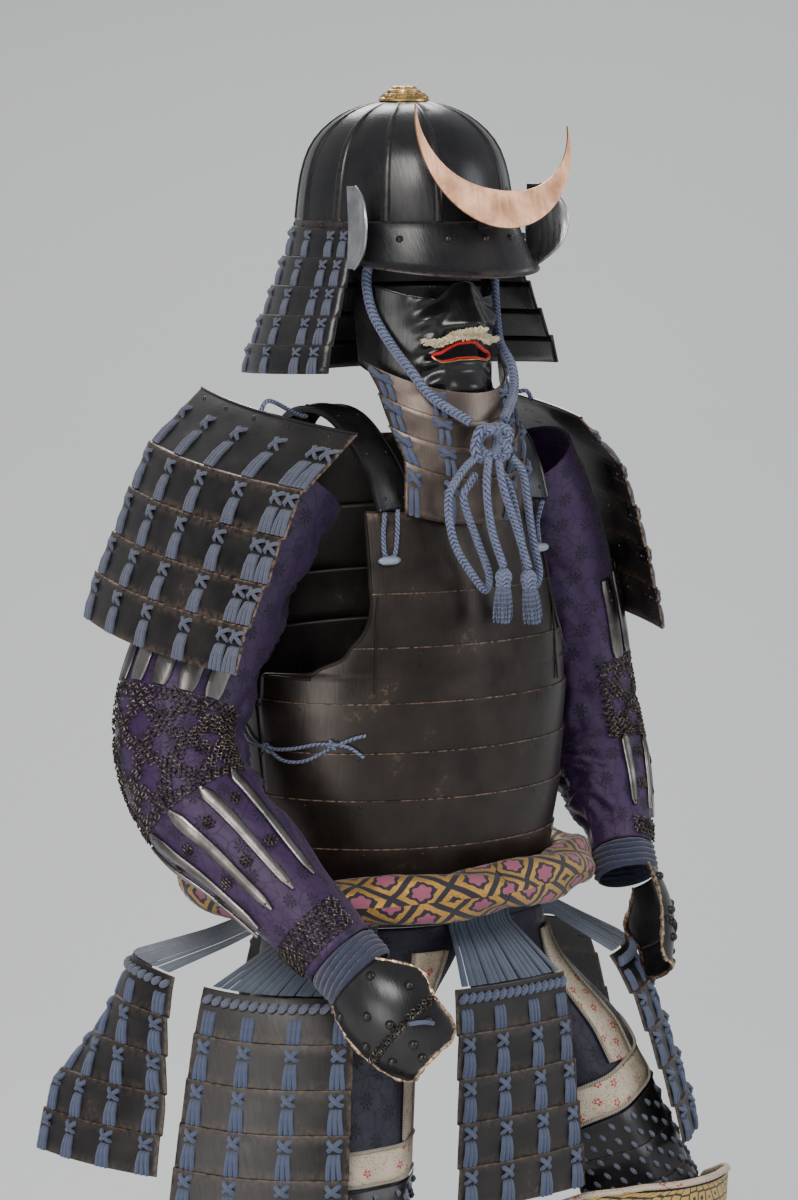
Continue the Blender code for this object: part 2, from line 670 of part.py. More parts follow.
def tasset_point(tasset, across, row, out=0.0):
    _, middle, half, faces, reach, long, twist = tasset
    share, step = row
    start = skirt_point(middle + across * half, 1.0)
    turn = math.radians(faces)
    outward = Vector((math.sin(turn), -math.cos(turn), 0))
    sideways = Vector((math.cos(turn), math.sin(turn), 0))
    spread = across * 14.0 * share
    centre = skirt_point(middle, 1.0)
    turned_edge = centre + sideways * across * TASSET_HALF - outward * TASSET_BOW * across**2
    start = start.lerp(turned_edge, twist * min(1.0, share * 1.5))
    lift = reach * share**0.8 + step + out + 0.7
    fall = math.sqrt((long * share) ** 2 - (reach * share) ** 2)
    seat = 0.5 * abs(math.cos(math.radians(middle))) - 2.3
    return start + outward * lift + sideways * spread + Vector((0, 0, seat - fall))


for tasset in TASSETS:
    panel(tasset[0], "black_lacquer", lambda u, v, tasset=tasset: tasset_point(tasset, u, v),
          steps(-1.0, 1.0, 4), TASSET_ROWS, PLATE)

# Thigh guard: a belt inside the skirt ring, two brocade aprons, leather strips and laced plates

BELT_ROWS = [0.05, 0.33]
BELT_OUT = -2.0 - 2 * GAP


def belt_point(angle, share):
    return skirt_point(angle, share, BELT_OUT)


panel("haidate_belt", "cream_leather", belt_point, steps(0, 360, 24), BELT_ROWS, CLOTH, closed=True)

THIGHS = {
    # side: hip, knee, apron angles at the hem, half width of the thigh at hip and hem
    "l": (Vector((100, 8, -585)), Vector((236, -112, -900)), (-62.0, 120.0), 108.0, 92.0),
    "r": (Vector((-100, 8, -585)), Vector((-212, -134, -912)), (-120.0, 60.0), 100.0, 86.0),
}


def thigh_point(side, across, share, out=0.0):
    """A point of the apron: from the belt's edge it falls round the front of the thigh."""
    hip, knee, (first, last), wide, narrow = THIGHS[side]
    top_first, top_last = (6.0, 112.0) if side == "l" else (-112.0, -6.0)
    top_angle = top_first + (top_last - top_first) * across
    top = skirt_point(top_angle, BELT_ROWS[1], BELT_OUT - 1.6) + Vector((0, 0, -0.8))
    angle = math.radians(first + (last - first) * across)
    middle = hip + (knee - hip) * share
    radius = wide + (narrow - wide) * share
    pleat = 4.5 * math.sin(across * 26.0) * share * (1 - share * 0.7)
    round_thigh = middle + Vector((math.sin(angle), -math.cos(angle), 0)) * (radius + pleat)
    blend = min(1.0, share * 2.4)
    blend = blend * blend * (3 - 2 * blend)
    flat = Vector((top.x, top.y, 0)) * (1 - blend) + Vector((round_thigh.x, round_thigh.y, 0)) * blend
    outward = Vector((math.sin(angle), -math.cos(angle), 0))
    return Vector((flat.x, flat.y, top.z + (knee.z - top.z) * share)) + outward * out


APRON_COLUMNS = steps(0.0, 1.0, 10)
APRON_SHARES = steps(0.0, 1.0, 9)
TRIM_OUT = 2.0
TRIM_MORE = {"l": 1.3, "r": 0.5}


def band_share(side, across, which):
    """The leather band's upper and lower edges: level on the right thigh, rising outwards on the left."""
    if side == "r":
        return (0.60, 0.69)[which]
    return (0.62, 0.72)[which] - 0.26 * across


for side in ("l", "r"):
    panel("haidate_cloth_" + side, "purple_brocade", lambda u, v, side=side: thigh_point(side, u, v),
          APRON_COLUMNS, APRON_SHARES, CLOTH)

    def trim_point(across, row, side=side):
        upper, lower = band_share(side, across, 0), band_share(side, across, 1)
        return thigh_point(side, across, upper + (lower - upper) * row, TRIM_OUT + TRIM_MORE[side])

    def plates_point(across, row, side=side):
        top = band_share(side, across, 1) + 0.012
        return thigh_point(side, across, top + (0.985 - top) * row[0], TRIM_OUT + row[1])

    panel("haidate_trim_" + side, "cream_leather", trim_point, APRON_COLUMNS, [0.0, 1.0], 1.6)
    panel("haidate_plates_" + side, "black_lacquer", plates_point, APRON_COLUMNS, lames(0.0, 1.0, 3, 2.4),
          1.6)

# Shin guards: splints round the front of the shin with a knee plate above

LEGS = {
    "l": (Vector((214.3, -134, -845)), Vector((235, -112, -1390))),
    "r": (Vector((-188.7, -146, -862)), Vector((-213, -70, -1390))),
}
SHIN_ROWS = [(0.0, 30.0, 116.0), (0.02, 62.0, 116.0), (0.06, 86.0, 115.0), (0.13, 96.0, 113.0),
             (0.19, 92.0, 108.0),
             (0.215, 84.0, 84.0), (0.35, 90.0, 74.0), (0.55, 92.0, 70.0), (0.8, 90.0, 56.0), (1.0, 84.0,
              50.0)]


def shin_point(side, across, row):
    top, bottom = LEGS[side]
    share, half, radius = row
    angle = math.radians(across * half)
    middle = top + (bottom - top) * share
    return middle + Vector((math.sin(angle), -math.cos(angle), 0)) * radius


for side in ("l", "r"):
    panel("shin_guard_" + side, "black_lacquer", lambda u, v, side=side: shin_point(side, u, v),
          steps(-1.0, 1.0, 6), SHIN_ROWS, PLATE)

# Moustache: a lock of hair set in the upper lip, thick at the middle

MOUSTACHE_ROWS = [0.375, 0.40, 0.435, 0.47]
MOUSTACHE_THICK = 5.0


def moustache_point(across, share):
    full = 1 - 0.55 * across**2
    middle = 0.425
    return mask_point(across * 30.0, middle + (share - middle) * full, MOUSTACHE_THICK * full + 3.4)


panel("moustache", "fur", moustache_point, steps(-1.0, 1.0, 10), MOUSTACHE_ROWS, MOUSTACHE_THICK * 0.62)

# Cords: the chin cord, its knot and bow, the chest cords and the side tie

CHIN_DIAMETER = 11.0
CHIN_LINE = [(62, 206, 11.6), (62, 180, 8.0), (64, 155, 6.4), (60, 122, 6.4), (50, 88, 9.0), (40, 62, 22.6),
             (30, 34, 25.6)]
CHIN_END = {"l": (14.8, -155.2, 8.8), "r": (-31, -155.2, 9)}
for side, hand in (("l", 1), ("r", -1)):
    route = [face_point(hand * a, h, out) for a, h, out in CHIN_LINE] + [CHIN_END[side]]
    cord("chin_cord_" + side, "braid", route, CHIN_DIAMETER, 12)


def cord_knot():
    knot = bmesh.new()
    bmesh.ops.create_uvsphere(knot, u_segments=12, v_segments=8, radius=1.0)
    for vert in knot.verts:
        x, y, z = vert.co
        waist = 1 - 0.22 * math.cos(3 * math.atan2(z, x)) * (1 - y * y)
        vert.co = (Vector((x * 31.0 * waist, y * 16.0, z * 22.0 * waist)) + KNOT) * MM
    mesh = bpy.data.meshes.new("cord_knot")
    knot.to_mesh(mesh)
    knot.free()
    shade(mesh, 80)
    add_object("cord_knot", mesh, "braid")


KNOT = Vector((-8.0, -157.4, -14.0))
cord_knot()

LOOP_R = [(-29.8, -161.0, -29.1), (-53, -165, -45), (-70, -166, -72), (-60, -165, -120),
          (-28, -163, -162), (-14, -163, -172),
          (-12, -163, -154), (-30, -164, -115), (-48, -164, -72), (-38, -163, -56), (-29, -161.5, -47)]
LOOP_L = [(18.6, -162.6, -29.8), (32, -166, -46), (38, -166, -72), (48, -165, -120), (59, -163, -158),
          (52, -163, -173),
          (42, -163, -158), (31, -165, -118), (18, -166, -72), (8, -165, -52), (0, -164, -43)]
TAIL_R = [(-16.6, -168.4, -29.4), (-27, -178, -62), (-20, -178, -105), (-5, -180, -146)]
TAIL_L = [(-4.5, -170.2, -32.2), (-4, -178, -62), (14, -178, -105), (30, -180, -150)]
LOOP_DIAMETER = 9.0
for name, route, count in (("bow_loop_r", LOOP_R, 20), ("bow_loop_l", LOOP_L, 20),
                           ("cord_tail_r", TAIL_R, 7),
                           ("cord_tail_l", TAIL_L, 7)):
    cord(name, "braid", route, LOOP_DIAMETER, count)


def tassel(name, top, lean, radius, long):
    """A bound head whose lower faces are drawn down into strands."""
    head = bmesh.new()
    bmesh.ops.create_uvsphere(head, u_segments=8, v_segments=6, radius=radius * MM)
    lower = [face for face in head.faces if face.calc_center_median().z < -0.1 * radius * MM]
    bmesh.ops.inset_individual(head, faces=lower, thickness=0.35 * MM)
    for face in bmesh.ops.extrude_discrete_faces(head, faces=lower)["faces"]:
        middle = face.calc_center_median()
        fall = Vector((middle.x * 0.35, middle.y * 0.35, -long * MM - middle.z))
        for vert in face.verts:
            vert.co += fall
    mesh = bpy.data.meshes.new(name)
    place = Vector(top) + Vector((0, 0, -radius - 3 * GAP))
    head.transform(Matrix.Translation(place * MM) @ Matrix.Rotation(math.radians(lean), 4, "Y"))
    bmesh.ops.recalc_face_normals(head, faces=head.faces[:])
    head.to_mesh(mesh)
    head.free()
    shade(mesh)
    add_object(name, mesh, "braid")


tassel("tassel_r", TAIL_R[-1], 2, 11.0, 48.0)
tassel("tassel_l", TAIL_L[-1], -8, 11.0, 48.0)

# Chest cords: a hairpin from each strap's end, held by a toggle on the chest plate

CHEST_CORD = [(34, -84.6, 8.0), (34, -93, 7.0), (34, -112, 4.6), (35, -134, 4.0), (38.5, -134, 4.2),
              (39.5, -112, 6.0),
              (39.3, -96, 13.0), (39.2, -87.2, 17.4)]
for side, hand in (("l", 1), ("r", -1)):
    cord("strap_cord_" + side, "blue_lace", [torso_point(hand * a, h, out) for a, h, out in CHEST_CORD],
         5.0, 13)

SODE_CORD_AT = {"l": -0.2, "r": 0.0}
SODE_CORD_HALF = 2.5
for side, hand in (("l", 1), ("r", -1)):
    strap = strap_point(1.0, 0.36)
    start = Vector((hand * (strap.x + 2 * GAP), strap.y, strap.z - 3.6))
    along = Vector((hand * 0.78, 0, -0.62))
    normal = Vector((hand * 0.62, 0, 0.78))
    edge = sode_point(side, SODE_CORD_AT[side], SODE_ROWS[0])
    end = edge - normal * PLATE / 2 - along * 4 * GAP
    route = [start, start + Vector((hand * 14, 0, 3)), end - along * 16 + Vector((0, 0, 1)), end]
    cord("sode_cord_" + side, "blue_lace", route, 2 * SODE_CORD_HALF, 7)

SIDE_TIE = [(-112, -310), (-98, -338), (-84, -345), (-72, -343), (-60, -336), (-50, -338), (-44, -350)]
SIDE_TIE_OUT = 4.0
cord("side_tie", "blue_lace", [torso_point(a, h, SIDE_TIE_OUT) for a, h in SIDE_TIE], 4.0, 15)
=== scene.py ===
import math
import random

import bmesh
import bpy
from mathutils import Matrix, Vector, noise


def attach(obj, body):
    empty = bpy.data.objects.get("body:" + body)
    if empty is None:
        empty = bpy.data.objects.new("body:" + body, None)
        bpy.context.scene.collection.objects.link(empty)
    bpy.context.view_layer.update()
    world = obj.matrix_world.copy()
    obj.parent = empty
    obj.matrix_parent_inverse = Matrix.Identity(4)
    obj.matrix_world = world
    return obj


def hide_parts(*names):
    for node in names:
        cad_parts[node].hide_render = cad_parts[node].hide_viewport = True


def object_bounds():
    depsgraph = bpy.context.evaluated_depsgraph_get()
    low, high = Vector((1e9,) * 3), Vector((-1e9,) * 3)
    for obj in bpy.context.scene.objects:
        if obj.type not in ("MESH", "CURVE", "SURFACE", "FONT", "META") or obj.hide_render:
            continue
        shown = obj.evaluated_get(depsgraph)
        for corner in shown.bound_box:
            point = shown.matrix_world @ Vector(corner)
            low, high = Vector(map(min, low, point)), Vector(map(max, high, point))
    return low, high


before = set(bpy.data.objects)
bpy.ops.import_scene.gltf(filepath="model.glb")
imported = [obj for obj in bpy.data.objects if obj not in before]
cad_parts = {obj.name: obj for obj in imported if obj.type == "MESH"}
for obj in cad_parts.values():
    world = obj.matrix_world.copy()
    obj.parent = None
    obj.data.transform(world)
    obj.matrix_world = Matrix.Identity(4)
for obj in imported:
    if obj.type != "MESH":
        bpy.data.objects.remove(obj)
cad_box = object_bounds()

# Camera, light and floor
# The suit is seen from its right front, a little above its waist, under wide soft lamps
# on a plain pale floor that turns up into a plain wall.

CAMERA_PLACE, CAMERA_AIM = (-2.754, -3.516, 0.348), Vector((-0.0043, 0.0034, -0.200))
CAMERA_LENS, CAMERA_FILM = 121.5, 36.0
LAMP_AIM = Vector((0.0, 0.0, -0.3))
LAMPS = [("key_lamp", (-3.2, -2.6, 2.6), 2.2, 150.0, (1.0, 0.97, 0.93)),
         ("fill_lamp", (2.6, -3.4, 1.0), 2.6, 60.0, (0.93, 0.96, 1.0)),
         ("rim_lamp", (1.6, 2.6, 2.4), 1.8, 90.0, (1.0, 1.0, 1.0)),
         ("low_lamp", (-2.6, -1.2, -0.6), 1.4, 26.0, (1.0, 0.98, 0.96))]
PAPER_Z = cad_box[0][2] - 0.002
PAPER_HALF, PAPER_FLAT, PAPER_BEND, PAPER_TURN = 4.0, 0.55, 1.6, math.radians(-38)

scene = bpy.context.scene


def placed(name, data, place, aim):
    """A camera or lamp that looks at its aim."""
    thing = bpy.data.objects.new(name, data)
    thing.location = place
    thing.rotation_euler = (aim - thing.location).to_track_quat("-Z", "Y").to_euler()
    scene.collection.objects.link(thing)
    return thing


lens = bpy.data.cameras.new("camera")
lens.sensor_fit = "VERTICAL"
lens.sensor_height = CAMERA_FILM
lens.lens = CAMERA_LENS
lens.clip_end = 60.0
scene.camera = placed("camera", lens, CAMERA_PLACE, CAMERA_AIM)
for lamp_name, place, size, power, tint in LAMPS:
    lamp = bpy.data.lights.new(lamp_name, "AREA")
    lamp.shape = "DISK"
    lamp.size = size
    lamp.energy = power
    lamp.color = tint
    placed(lamp_name, lamp, place, LAMP_AIM)

world = bpy.data.worlds.new("studio")
world.use_nodes = True
world.node_tree.nodes["Background"].inputs["Color"].default_value = (0.78, 0.80, 0.83, 1)
world.node_tree.nodes["Background"].inputs["Strength"].default_value = 0.55
scene.world = world

paper = bmesh.new()
bmesh.ops.create_grid(paper, x_segments=2, y_segments=24, size=PAPER_HALF)
for vert in paper.verts:
    share = (vert.co.y + PAPER_HALF) / (2 * PAPER_HALF)
    rise = max(0.0, share - PAPER_FLAT) / (1 - PAPER_FLAT)
    bend = rise * math.pi / 2
    away = -5.0 + 8.0 * min(share, PAPER_FLAT) / PAPER_FLAT + PAPER_BEND * math.sin(bend)
    up = PAPER_Z + PAPER_BEND * (1 - math.cos(bend)) + 3.6 * max(0.0, rise - 0.7)
    vert.co = Vector((vert.co.x * 2.2, away, up))
paper.transform(Matrix.Rotation(PAPER_TURN, 4, "Z"))
paper_mesh = bpy.data.meshes.new("paper_floor")
paper.to_mesh(paper_mesh)
paper.free()
paper_mesh.shade_smooth()
floor = bpy.data.objects.new("paper_floor", paper_mesh)
scene.collection.objects.link(floor)
pale_paper = bpy.data.materials.new("pale_paper")
pale_paper.use_nodes = True
paper_shader = pale_paper.node_tree.nodes["Principled BSDF"].inputs
paper_shader["Base Color"].default_value = (0.74, 0.745, 0.75, 1)
paper_shader["Roughness"].default_value = 0.9
paper_mesh.materials.append(pale_paper)

# Helmet cord: round braid of blue-grey silk
# It leaves the helmet's rim on both sides, runs down the mask's cheeks to a knot below the chin,
# and ends in a bow of two long loops and two tails with tassels.

MM = 0.001
HAND = {"l": 1, "r": -1}


def read(table, at, column=1):
    """Reads a column of a table whose first column rises, in straight lines between its rows."""
    if at <= table[0][0]:
        return table[0][column]
    for low, high in zip(table, table[1:]):
        if at <= high[0]:
            share = (at - low[0]) / (high[0] - low[0])
            return low[column] + share * (high[column] - low[column])
    return table[-1][column]


def steps(first, last, count):
    return [first + (last - first) * k / count for k in range(count + 1)]


def around(half_x, half_y, angle, out=0.0):
    """A point on an ellipse: angle 0 is the front, 90 the wearer's left."""
    turn = math.radians(angle)
    return Vector(((half_x + out) * math.sin(turn), -(half_y + out) * math.cos(turn), 0.0))


def smooth_at(points, share):
    """A point of the smooth curve through these points."""
    reach = share * (len(points) - 1)
    k = min(int(reach), len(points) - 2)
    t = reach - k
    p1, p2 = Vector(points[k]), Vector(points[k + 1])
    p0 = Vector(points[k - 1]) if k else 2 * p1 - p2
    p3 = Vector(points[k + 2]) if k + 2 < len(points) else 2 * p2 - p1
    return 0.5 * (2 * p1 + (p2 - p0) * t + (2 * p0 - 5 * p1 + 4 * p2 - p3) * t**2
                  + (3 * p1 - p0 - 3 * p2 + p3) * t**3)


def drawn(points, count):
    """The smooth curve through these points, cut into this many stretches."""
    return [smooth_at(points, share) for share in steps(0.0, 1.0, count)]


def formed(place, across, down, into=None, closed=False, capped=False, edge=None):
    """A grid whose points a formula places in mm, with its real size in metres as its UV map."""
    columns, rows = len(across) - 1, len(down) - 1
    made = bmesh.new()
    bmesh.ops.create_grid(made, x_segments=columns, y_segments=rows, size=0.5, calc_uvs=True)
    spots = [[Vector(place(u, v)) * MM for v in down] for u in across]
    middle_row, middle_column = rows // 2, columns // 2
    wide, tall = [0.0], [0.0]
    for i in range(columns):
        wide.append(wide[-1] + (spots[i + 1][middle_row] - spots[i][middle_row]).length)
    for j in range(rows):
        tall.append(tall[-1] + (spots[middle_column][j + 1] - spots[middle_column][j]).length)
    uv = made.loops.layers.uv.verify()
    worn = made.verts.layers.float.new("edge")
    seats = {v: (round((v.co.x + 0.5) * columns), round((0.5 - v.co.y) * rows)) for v in made.verts}
    for face in made.faces:
        for loop in face.loops:
            i, j = seats[loop.vert]
            loop[uv].uv = (wide[i], -tall[j])
    for vert, (i, j) in seats.items():
        vert.co = spots[i][j]
        vert[worn] = edge(i, j) if edge else 0.0
    if closed:
        bmesh.ops.remove_doubles(made, verts=made.verts[:], dist=0.000005)
    if capped:
        rim = [e for e in made.edges if e.is_boundary]
        bmesh.ops.holes_fill(made, edges=rim, sides=0)
        bmesh.ops.recalc_face_normals(made, faces=made.faces[:])
    if into is None:
        return made
    spare = bpy.data.meshes.new("spare")
    made.to_mesh(spare)
    made.free()
    into.from_mesh(spare)
    bpy.data.meshes.remove(spare)
    return into


def piece(name, made, look, slot, *replaced, wall=0.0, soften=0.0, angle=40, rounds=0):
    """The finished piece: its mesh, wall and softened edges, riding on the suit."""
    mesh = bpy.data.meshes.new(name)
    made.to_mesh(mesh)
    made.free()
    mesh.shade_smooth()
    mesh.set_sharp_from_angle(angle=math.radians(angle))
    thing = bpy.data.objects.new(name, mesh)
    mesh.materials.append(look)
    scene.collection.objects.link(thing)
    if wall:
        skin = thing.modifiers.new("wall", "SOLIDIFY")
        skin.thickness = wall * MM
        skin.offset = -1
    if soften:
        bevel = thing.modifiers.new("soft_edges", "BEVEL")
        bevel.width = soften * MM
        bevel.segments = 2
        bevel.limit_method = "ANGLE"
        bevel.angle_limit = math.radians(50)
    if rounds:
        smooth = thing.modifiers.new("smooth", "SUBSURF")
        smooth.levels = smooth.render_levels = rounds
    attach(thing, "root")
    if replaced:
        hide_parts(*replaced)
    return thing


def tube(points, half, into=None, sides=8, flat=1.0):
    """A round or flattened cord along points in mm: half is its half thickness, or one for each."""
    halves = half if isinstance(half, list) else [half] * len(points)
    ring, last = [], None
    for k, point in enumerate(points):
        point = Vector(point)
        ahead = (Vector(points[min(k + 1, len(points) - 1)]) - Vector(points[max(k - 1, 0)])).normalized()
        if last is None:
            side = ahead.orthogonal().normalized()
        else:
            side = (last - last.dot(ahead) * ahead).normalized()
        last = side
        ring.append((point, side, ahead.cross(side)))

    def place(turn, k):
        point, side, rise = ring[k]
        return point + (side * math.cos(turn) + rise * math.sin(turn) * flat) * halves[k]

    return formed(place, steps(0, -math.tau, sides), range(len(points)), into, closed=True, capped=True)


def feed(tree, socket, value):
    """Gives a socket its link or its constant; a colour is three numbers."""
    if isinstance(value, bpy.types.NodeSocket):
        tree.links.new(value, socket)
    else:
        socket.default_value = (*value, 1.0) if socket.type == "RGBA" else value


def node(tree, kind, inputs=None, **settings):
    made = tree.nodes.new(kind)
    for key, value in settings.items():
        setattr(made, key, value)
    for key, value in (inputs or {}).items():
        feed(tree, made.inputs[key], value)
    return made


def calc(tree, operation, a, b=0.0):
    return node(tree, "ShaderNodeMath", {0: a, 1: b}, operation=operation).outputs[0]


def plus(tree, a, b):
    return calc(tree, "ADD", a, b)


def minus(tree, a, b):
    return calc(tree, "SUBTRACT", a, b)


def times(tree, a, b):
    return calc(tree, "MULTIPLY", a, b)


def tinted(tree, share, a, b):
    """Colour a where the share is 0 and b where it is 1."""
    return node(tree, "ShaderNodeMix", {0: share, 6: a, 7: b}, data_type="RGBA").outputs[2]


def between(tree, value, low, high, bottom=0.0, top=1.0):
    """The bottom value up to low, the top value from high."""
    return node(tree, "ShaderNodeMapRange", {"Value": value, "From Min": low, "From Max": high,
                                             "To Min": bottom, "To Max": top}).outputs["Result"]


def blotches(tree, spot, scale, detail):
    made = node(tree, "ShaderNodeTexNoise", {"Vector": spot, "Scale": scale, "Detail": detail})
    return made.outputs["Fac"]


def seat_of(tree, kind="Object"):
    """Where a point lies on the piece, or on its UV map."""
    return node(tree, "ShaderNodeTexCoord").outputs[kind]


def look_of(name, roughness, metallic=0.0, **fixed):
    """A new material and its tree and shader."""
    made = bpy.data.materials.new(name)
    made.use_nodes = True
    shader = made.node_tree.nodes["Principled BSDF"]
    shader.inputs["Roughness"].default_value = roughness
    shader.inputs["Metallic"].default_value = metallic
    for key, value in fixed.items():
        shader.inputs[key.replace("_", " ")].default_value = value
    return made, made.node_tree, shader


def dressed(tree, shader, colour, height=None, strength=0.0, depth=0.0, rough=None):
    """Sends a look's colour, relief and roughness to its shader."""
    feed(tree, shader.inputs["Base Color"], colour)
    if rough is not None:
        feed(tree, shader.inputs["Roughness"], rough)
    if height is not None:
        bump = node(tree, "ShaderNodeBump", {"Height": height, "Strength": strength, "Distance": depth})
        feed(tree, shader.inputs["Normal"], bump.outputs["Normal"])


def group_of(name, inputs, outputs):
    """An empty node group with these float or vector inputs and float outputs."""
    group = bpy.data.node_groups.new(name, "ShaderNodeTree")
    for key, kind, value in inputs:
        socket = group.interface.new_socket(name=key, in_out="INPUT", socket_type=kind)
        if value is not None:
            socket.default_value = value
    for key in outputs:
        group.interface.new_socket(name=key, in_out="OUTPUT", socket_type="NodeSocketFloat")
    return group, group.nodes.new("NodeGroupInput").outputs, group.nodes.new("NodeGroupOutput").inputs


def use_group(tree, group, **inputs):
    return node(tree, "ShaderNodeGroup", inputs, node_tree=group).outputs


def braid_group():
    """Strands that lean to and fro in columns along a cord: the weave's height, and a painted shade that is 0
    in the grooves between strands and 1 on their tops.
    """
    group, given, out = group_of("braid_weave", [("UV", "NodeSocketVector", None),
                                                 ("Pitch", "NodeSocketFloat", 0.004)], ["Height", "Shade"])
    parts = node(group, "ShaderNodeSeparateXYZ", {0: given["UV"]}).outputs
    x = calc(group, "DIVIDE", parts["X"], given["Pitch"])
    y = calc(group, "DIVIDE", parts["Y"], given["Pitch"])
    lean = times(group, calc(group, "PINGPONG", x, 0.5), 0.9)
    strand = calc(group, "SINE", times(group, plus(group, y, lean), math.tau))
    joint = between(group, calc(group, "PINGPONG", x, 0.25), -0.06, 0.07)
    height = times(group, calc(group, "ABSOLUTE", strand), joint)
    group.links.new(height, out["Height"])
    group.links.new(between(group, height, 0.15, 0.80), out["Shade"])
    return group


BRAID_WEAVE = braid_group()


def braid_look(name, light, dark, pitch):
    made, tree, shader = look_of(name, 0.72, Sheen_Weight=0.2, Specular_IOR_Level=0.35)
    uv = seat_of(tree, "UV")
    weave = use_group(tree, BRAID_WEAVE, UV=uv, Pitch=pitch)
    # Painted shade: on the blue cords and laces the dark colour is shade painted into the grooves between
    # strands; on the black and cream edging it is the black thread.
    colour = tinted(tree, weave["Shade"], dark, light)
    faded = [c * 0.75 + 0.035 for c in light]
    colour = tinted(tree, between(tree, blotches(tree, uv, 60.0, 3.0), 0.45, 0.75), colour, faded)
    dressed(tree, shader, colour, weave["Height"], 0.75, pitch * 0.16)
    return made


CORD_BRAID = braid_look("cord_braid", (0.165, 0.195, 0.32), (0.012, 0.016, 0.04), 0.0105)
CHIN_HALF, BOW_HALF, KNOT_HALF = 5.5, 4.5, 5.6
FACE = [(-130.0, 158.0, 119.5), (-100.0, 148.0, 122.0), (-60.0, 128.0, 125.0), (-40.0, 116.0, 126.0),
        (0.0, 97.0, 122.0), (40.0, 84.0, 114.0), (80.0, 88.0, 108.0), (120.0, 92.0, 104.0),
        (170.0, 93.0, 103.0)]
CHIN_LINE = [(62, 206, 11.6), (62, 180, 8.0), (64, 155, 6.4), (60, 122, 6.4), (50, 88, 9.0), (40, 62, 22.6),
             (30, 34, 25.6)]
CHIN_END = {"l": (14.8, -155.2, 8.8), "r": (-31, -155.2, 9)}
KNOT = Vector((-8.0, -157.4, -14.0))
KNOT_TURNS = [(24, 25, 14, 8), (-30, 23, 14, 9), (88, 15, 13, 9)]
LOOPS = {
    "r": [(-29.8, -161.0, -29.1), (-53, -165, -45), (-70, -166, -72), (-60, -165, -120), (-28, -163, -162),
          (-14, -163, -172), (-12, -163, -154), (-30, -164, -115), (-48, -164, -72), (-38, -163, -56),
          (-29, -161.5, -47)],
    "l": [(18.6, -162.6, -29.8), (32, -166, -46), (38, -166, -72), (48, -165, -120), (59, -163, -158),
          (52, -163, -173), (42, -163, -158), (31, -165, -118), (18, -166, -72), (8, -165, -52),
          (0, -164, -43)],
}
TAILS = {
    "r": [(-16.6, -168.4, -29.4), (-27, -178, -62), (-20, -178, -105), (-5, -180, -146)],
    "l": [(-4.5, -170.2, -32.2), (-4, -178, -62), (14, -178, -105), (30, -180, -150)],
}
TASSEL_HEAD = [(0.6, 11.0), (4.6, 9.6), (8.2, 5.6), (9.6, 0.6), (8.8, -3.6), (7.6, -5.6), (8.8, -7.2),
               (8.6, -9.4), (6.0, -10.6), (0.4, -11.0)]
HEAD_DROP, THREADS, THREAD_LONG, THREAD_HALF, THREAD_TURN = 11.9, 120, 40.0, 0.62, 2.39996


def face_point(angle, height, out=0.0):
    flat = around(read(FACE, height, 1), read(FACE, height, 2), angle, out)
    return flat + Vector((0, 0, height))


def cord_length(points):
    return sum((Vector(b) - Vector(a)).length for a, b in zip(points, points[1:])) * MM


def laid_cord(name, route, half, look, slot, count, replaced=None):
    """A cord: a tube along the smooth curve through its route."""
    points = drawn(route, count - 1)
    thing = piece(name, tube(points, half, sides=10), look, slot, *([replaced] if replaced else []))


def tassel_strands(top, lean):
    """A bound head, and fine silk threads that fall from its underside."""
    chance = random.Random(7)
    made = bmesh.new()
    tilt = Matrix.Rotation(math.radians(lean), 3, "Y")
    head = Vector(top) - Vector((0, 0, HEAD_DROP))
    formed(lambda a, row: head + tilt @ Vector((row[0] * math.sin(a), -row[0] * math.cos(a), row[1])),
           steps(0, math.tau, 16), TASSEL_HEAD, made, closed=True)
    for k in range(THREADS):
        turn = k * THREAD_TURN
        spread = math.sqrt((k + 0.5) / THREADS)
        root = Vector((6.8 * spread * math.cos(turn), 6.8 * spread * math.sin(turn), -7.0))
        flare = Vector((math.cos(turn), math.sin(turn), 0)) * spread
        long = THREAD_LONG + chance.uniform(-5, 3)
        bend = Vector((chance.uniform(-1, 1), chance.uniform(-1, 1), 0)) * 1.4
        line = [root] + [root + flare * out + bend * swing - Vector((0, 0, long * share))
                         for out, swing, share in ((2.4, 0.4, 0.35), (3.2, 1.0, 0.7), (3.0, 1.5, 1.0))]
        tube([head + tilt @ p for p in line], THREAD_HALF, made, sides=3)
    return made


for side, hand in HAND.items():
    chin = [face_point(hand * a, h, out) for a, h, out in CHIN_LINE] + [CHIN_END[side]]
    laid_cord("silk_chin_cord_" + side, chin, CHIN_HALF, CORD_BRAID, "braid", 48,
              "chin_cord_" + side)
    laid_cord("silk_bow_loop_" + side, LOOPS[side], BOW_HALF, CORD_BRAID, "braid", 64,
              "bow_loop_" + side)
    tassel = piece("silk_tassel_" + side, tassel_strands(TAILS[side][-1], -3 - 5 * hand), CORD_BRAID,
                   "braid", "tassel_" + side)
    laid_cord("silk_tail_" + side, TAILS[side], BOW_HALF, CORD_BRAID, "braid", 30,
              "cord_tail_" + side)

knot = bmesh.new()
for lean, wide, tall, deep in KNOT_TURNS:
    turn = math.radians(lean)
    ring = []
    for a in steps(0, math.tau, 32):
        x, z, y = wide * math.cos(a), tall * math.sin(a), -deep * math.cos(2 * a) * 0.5 - 3.0
        ring.append(KNOT + Vector((x * math.cos(turn) - z * math.sin(turn), y,
                                   x * math.sin(turn) + z * math.cos(turn))))
    tube(ring, KNOT_HALF, knot, sides=10)
piece("silk_knot", knot, CORD_BRAID, "braid", "cord_knot")

# Helmet bowl: black lacquered iron
# Twelve tapered plates are riveted edge over edge, each joint a raised rib, above a broad brow
# band with small domed rivets.


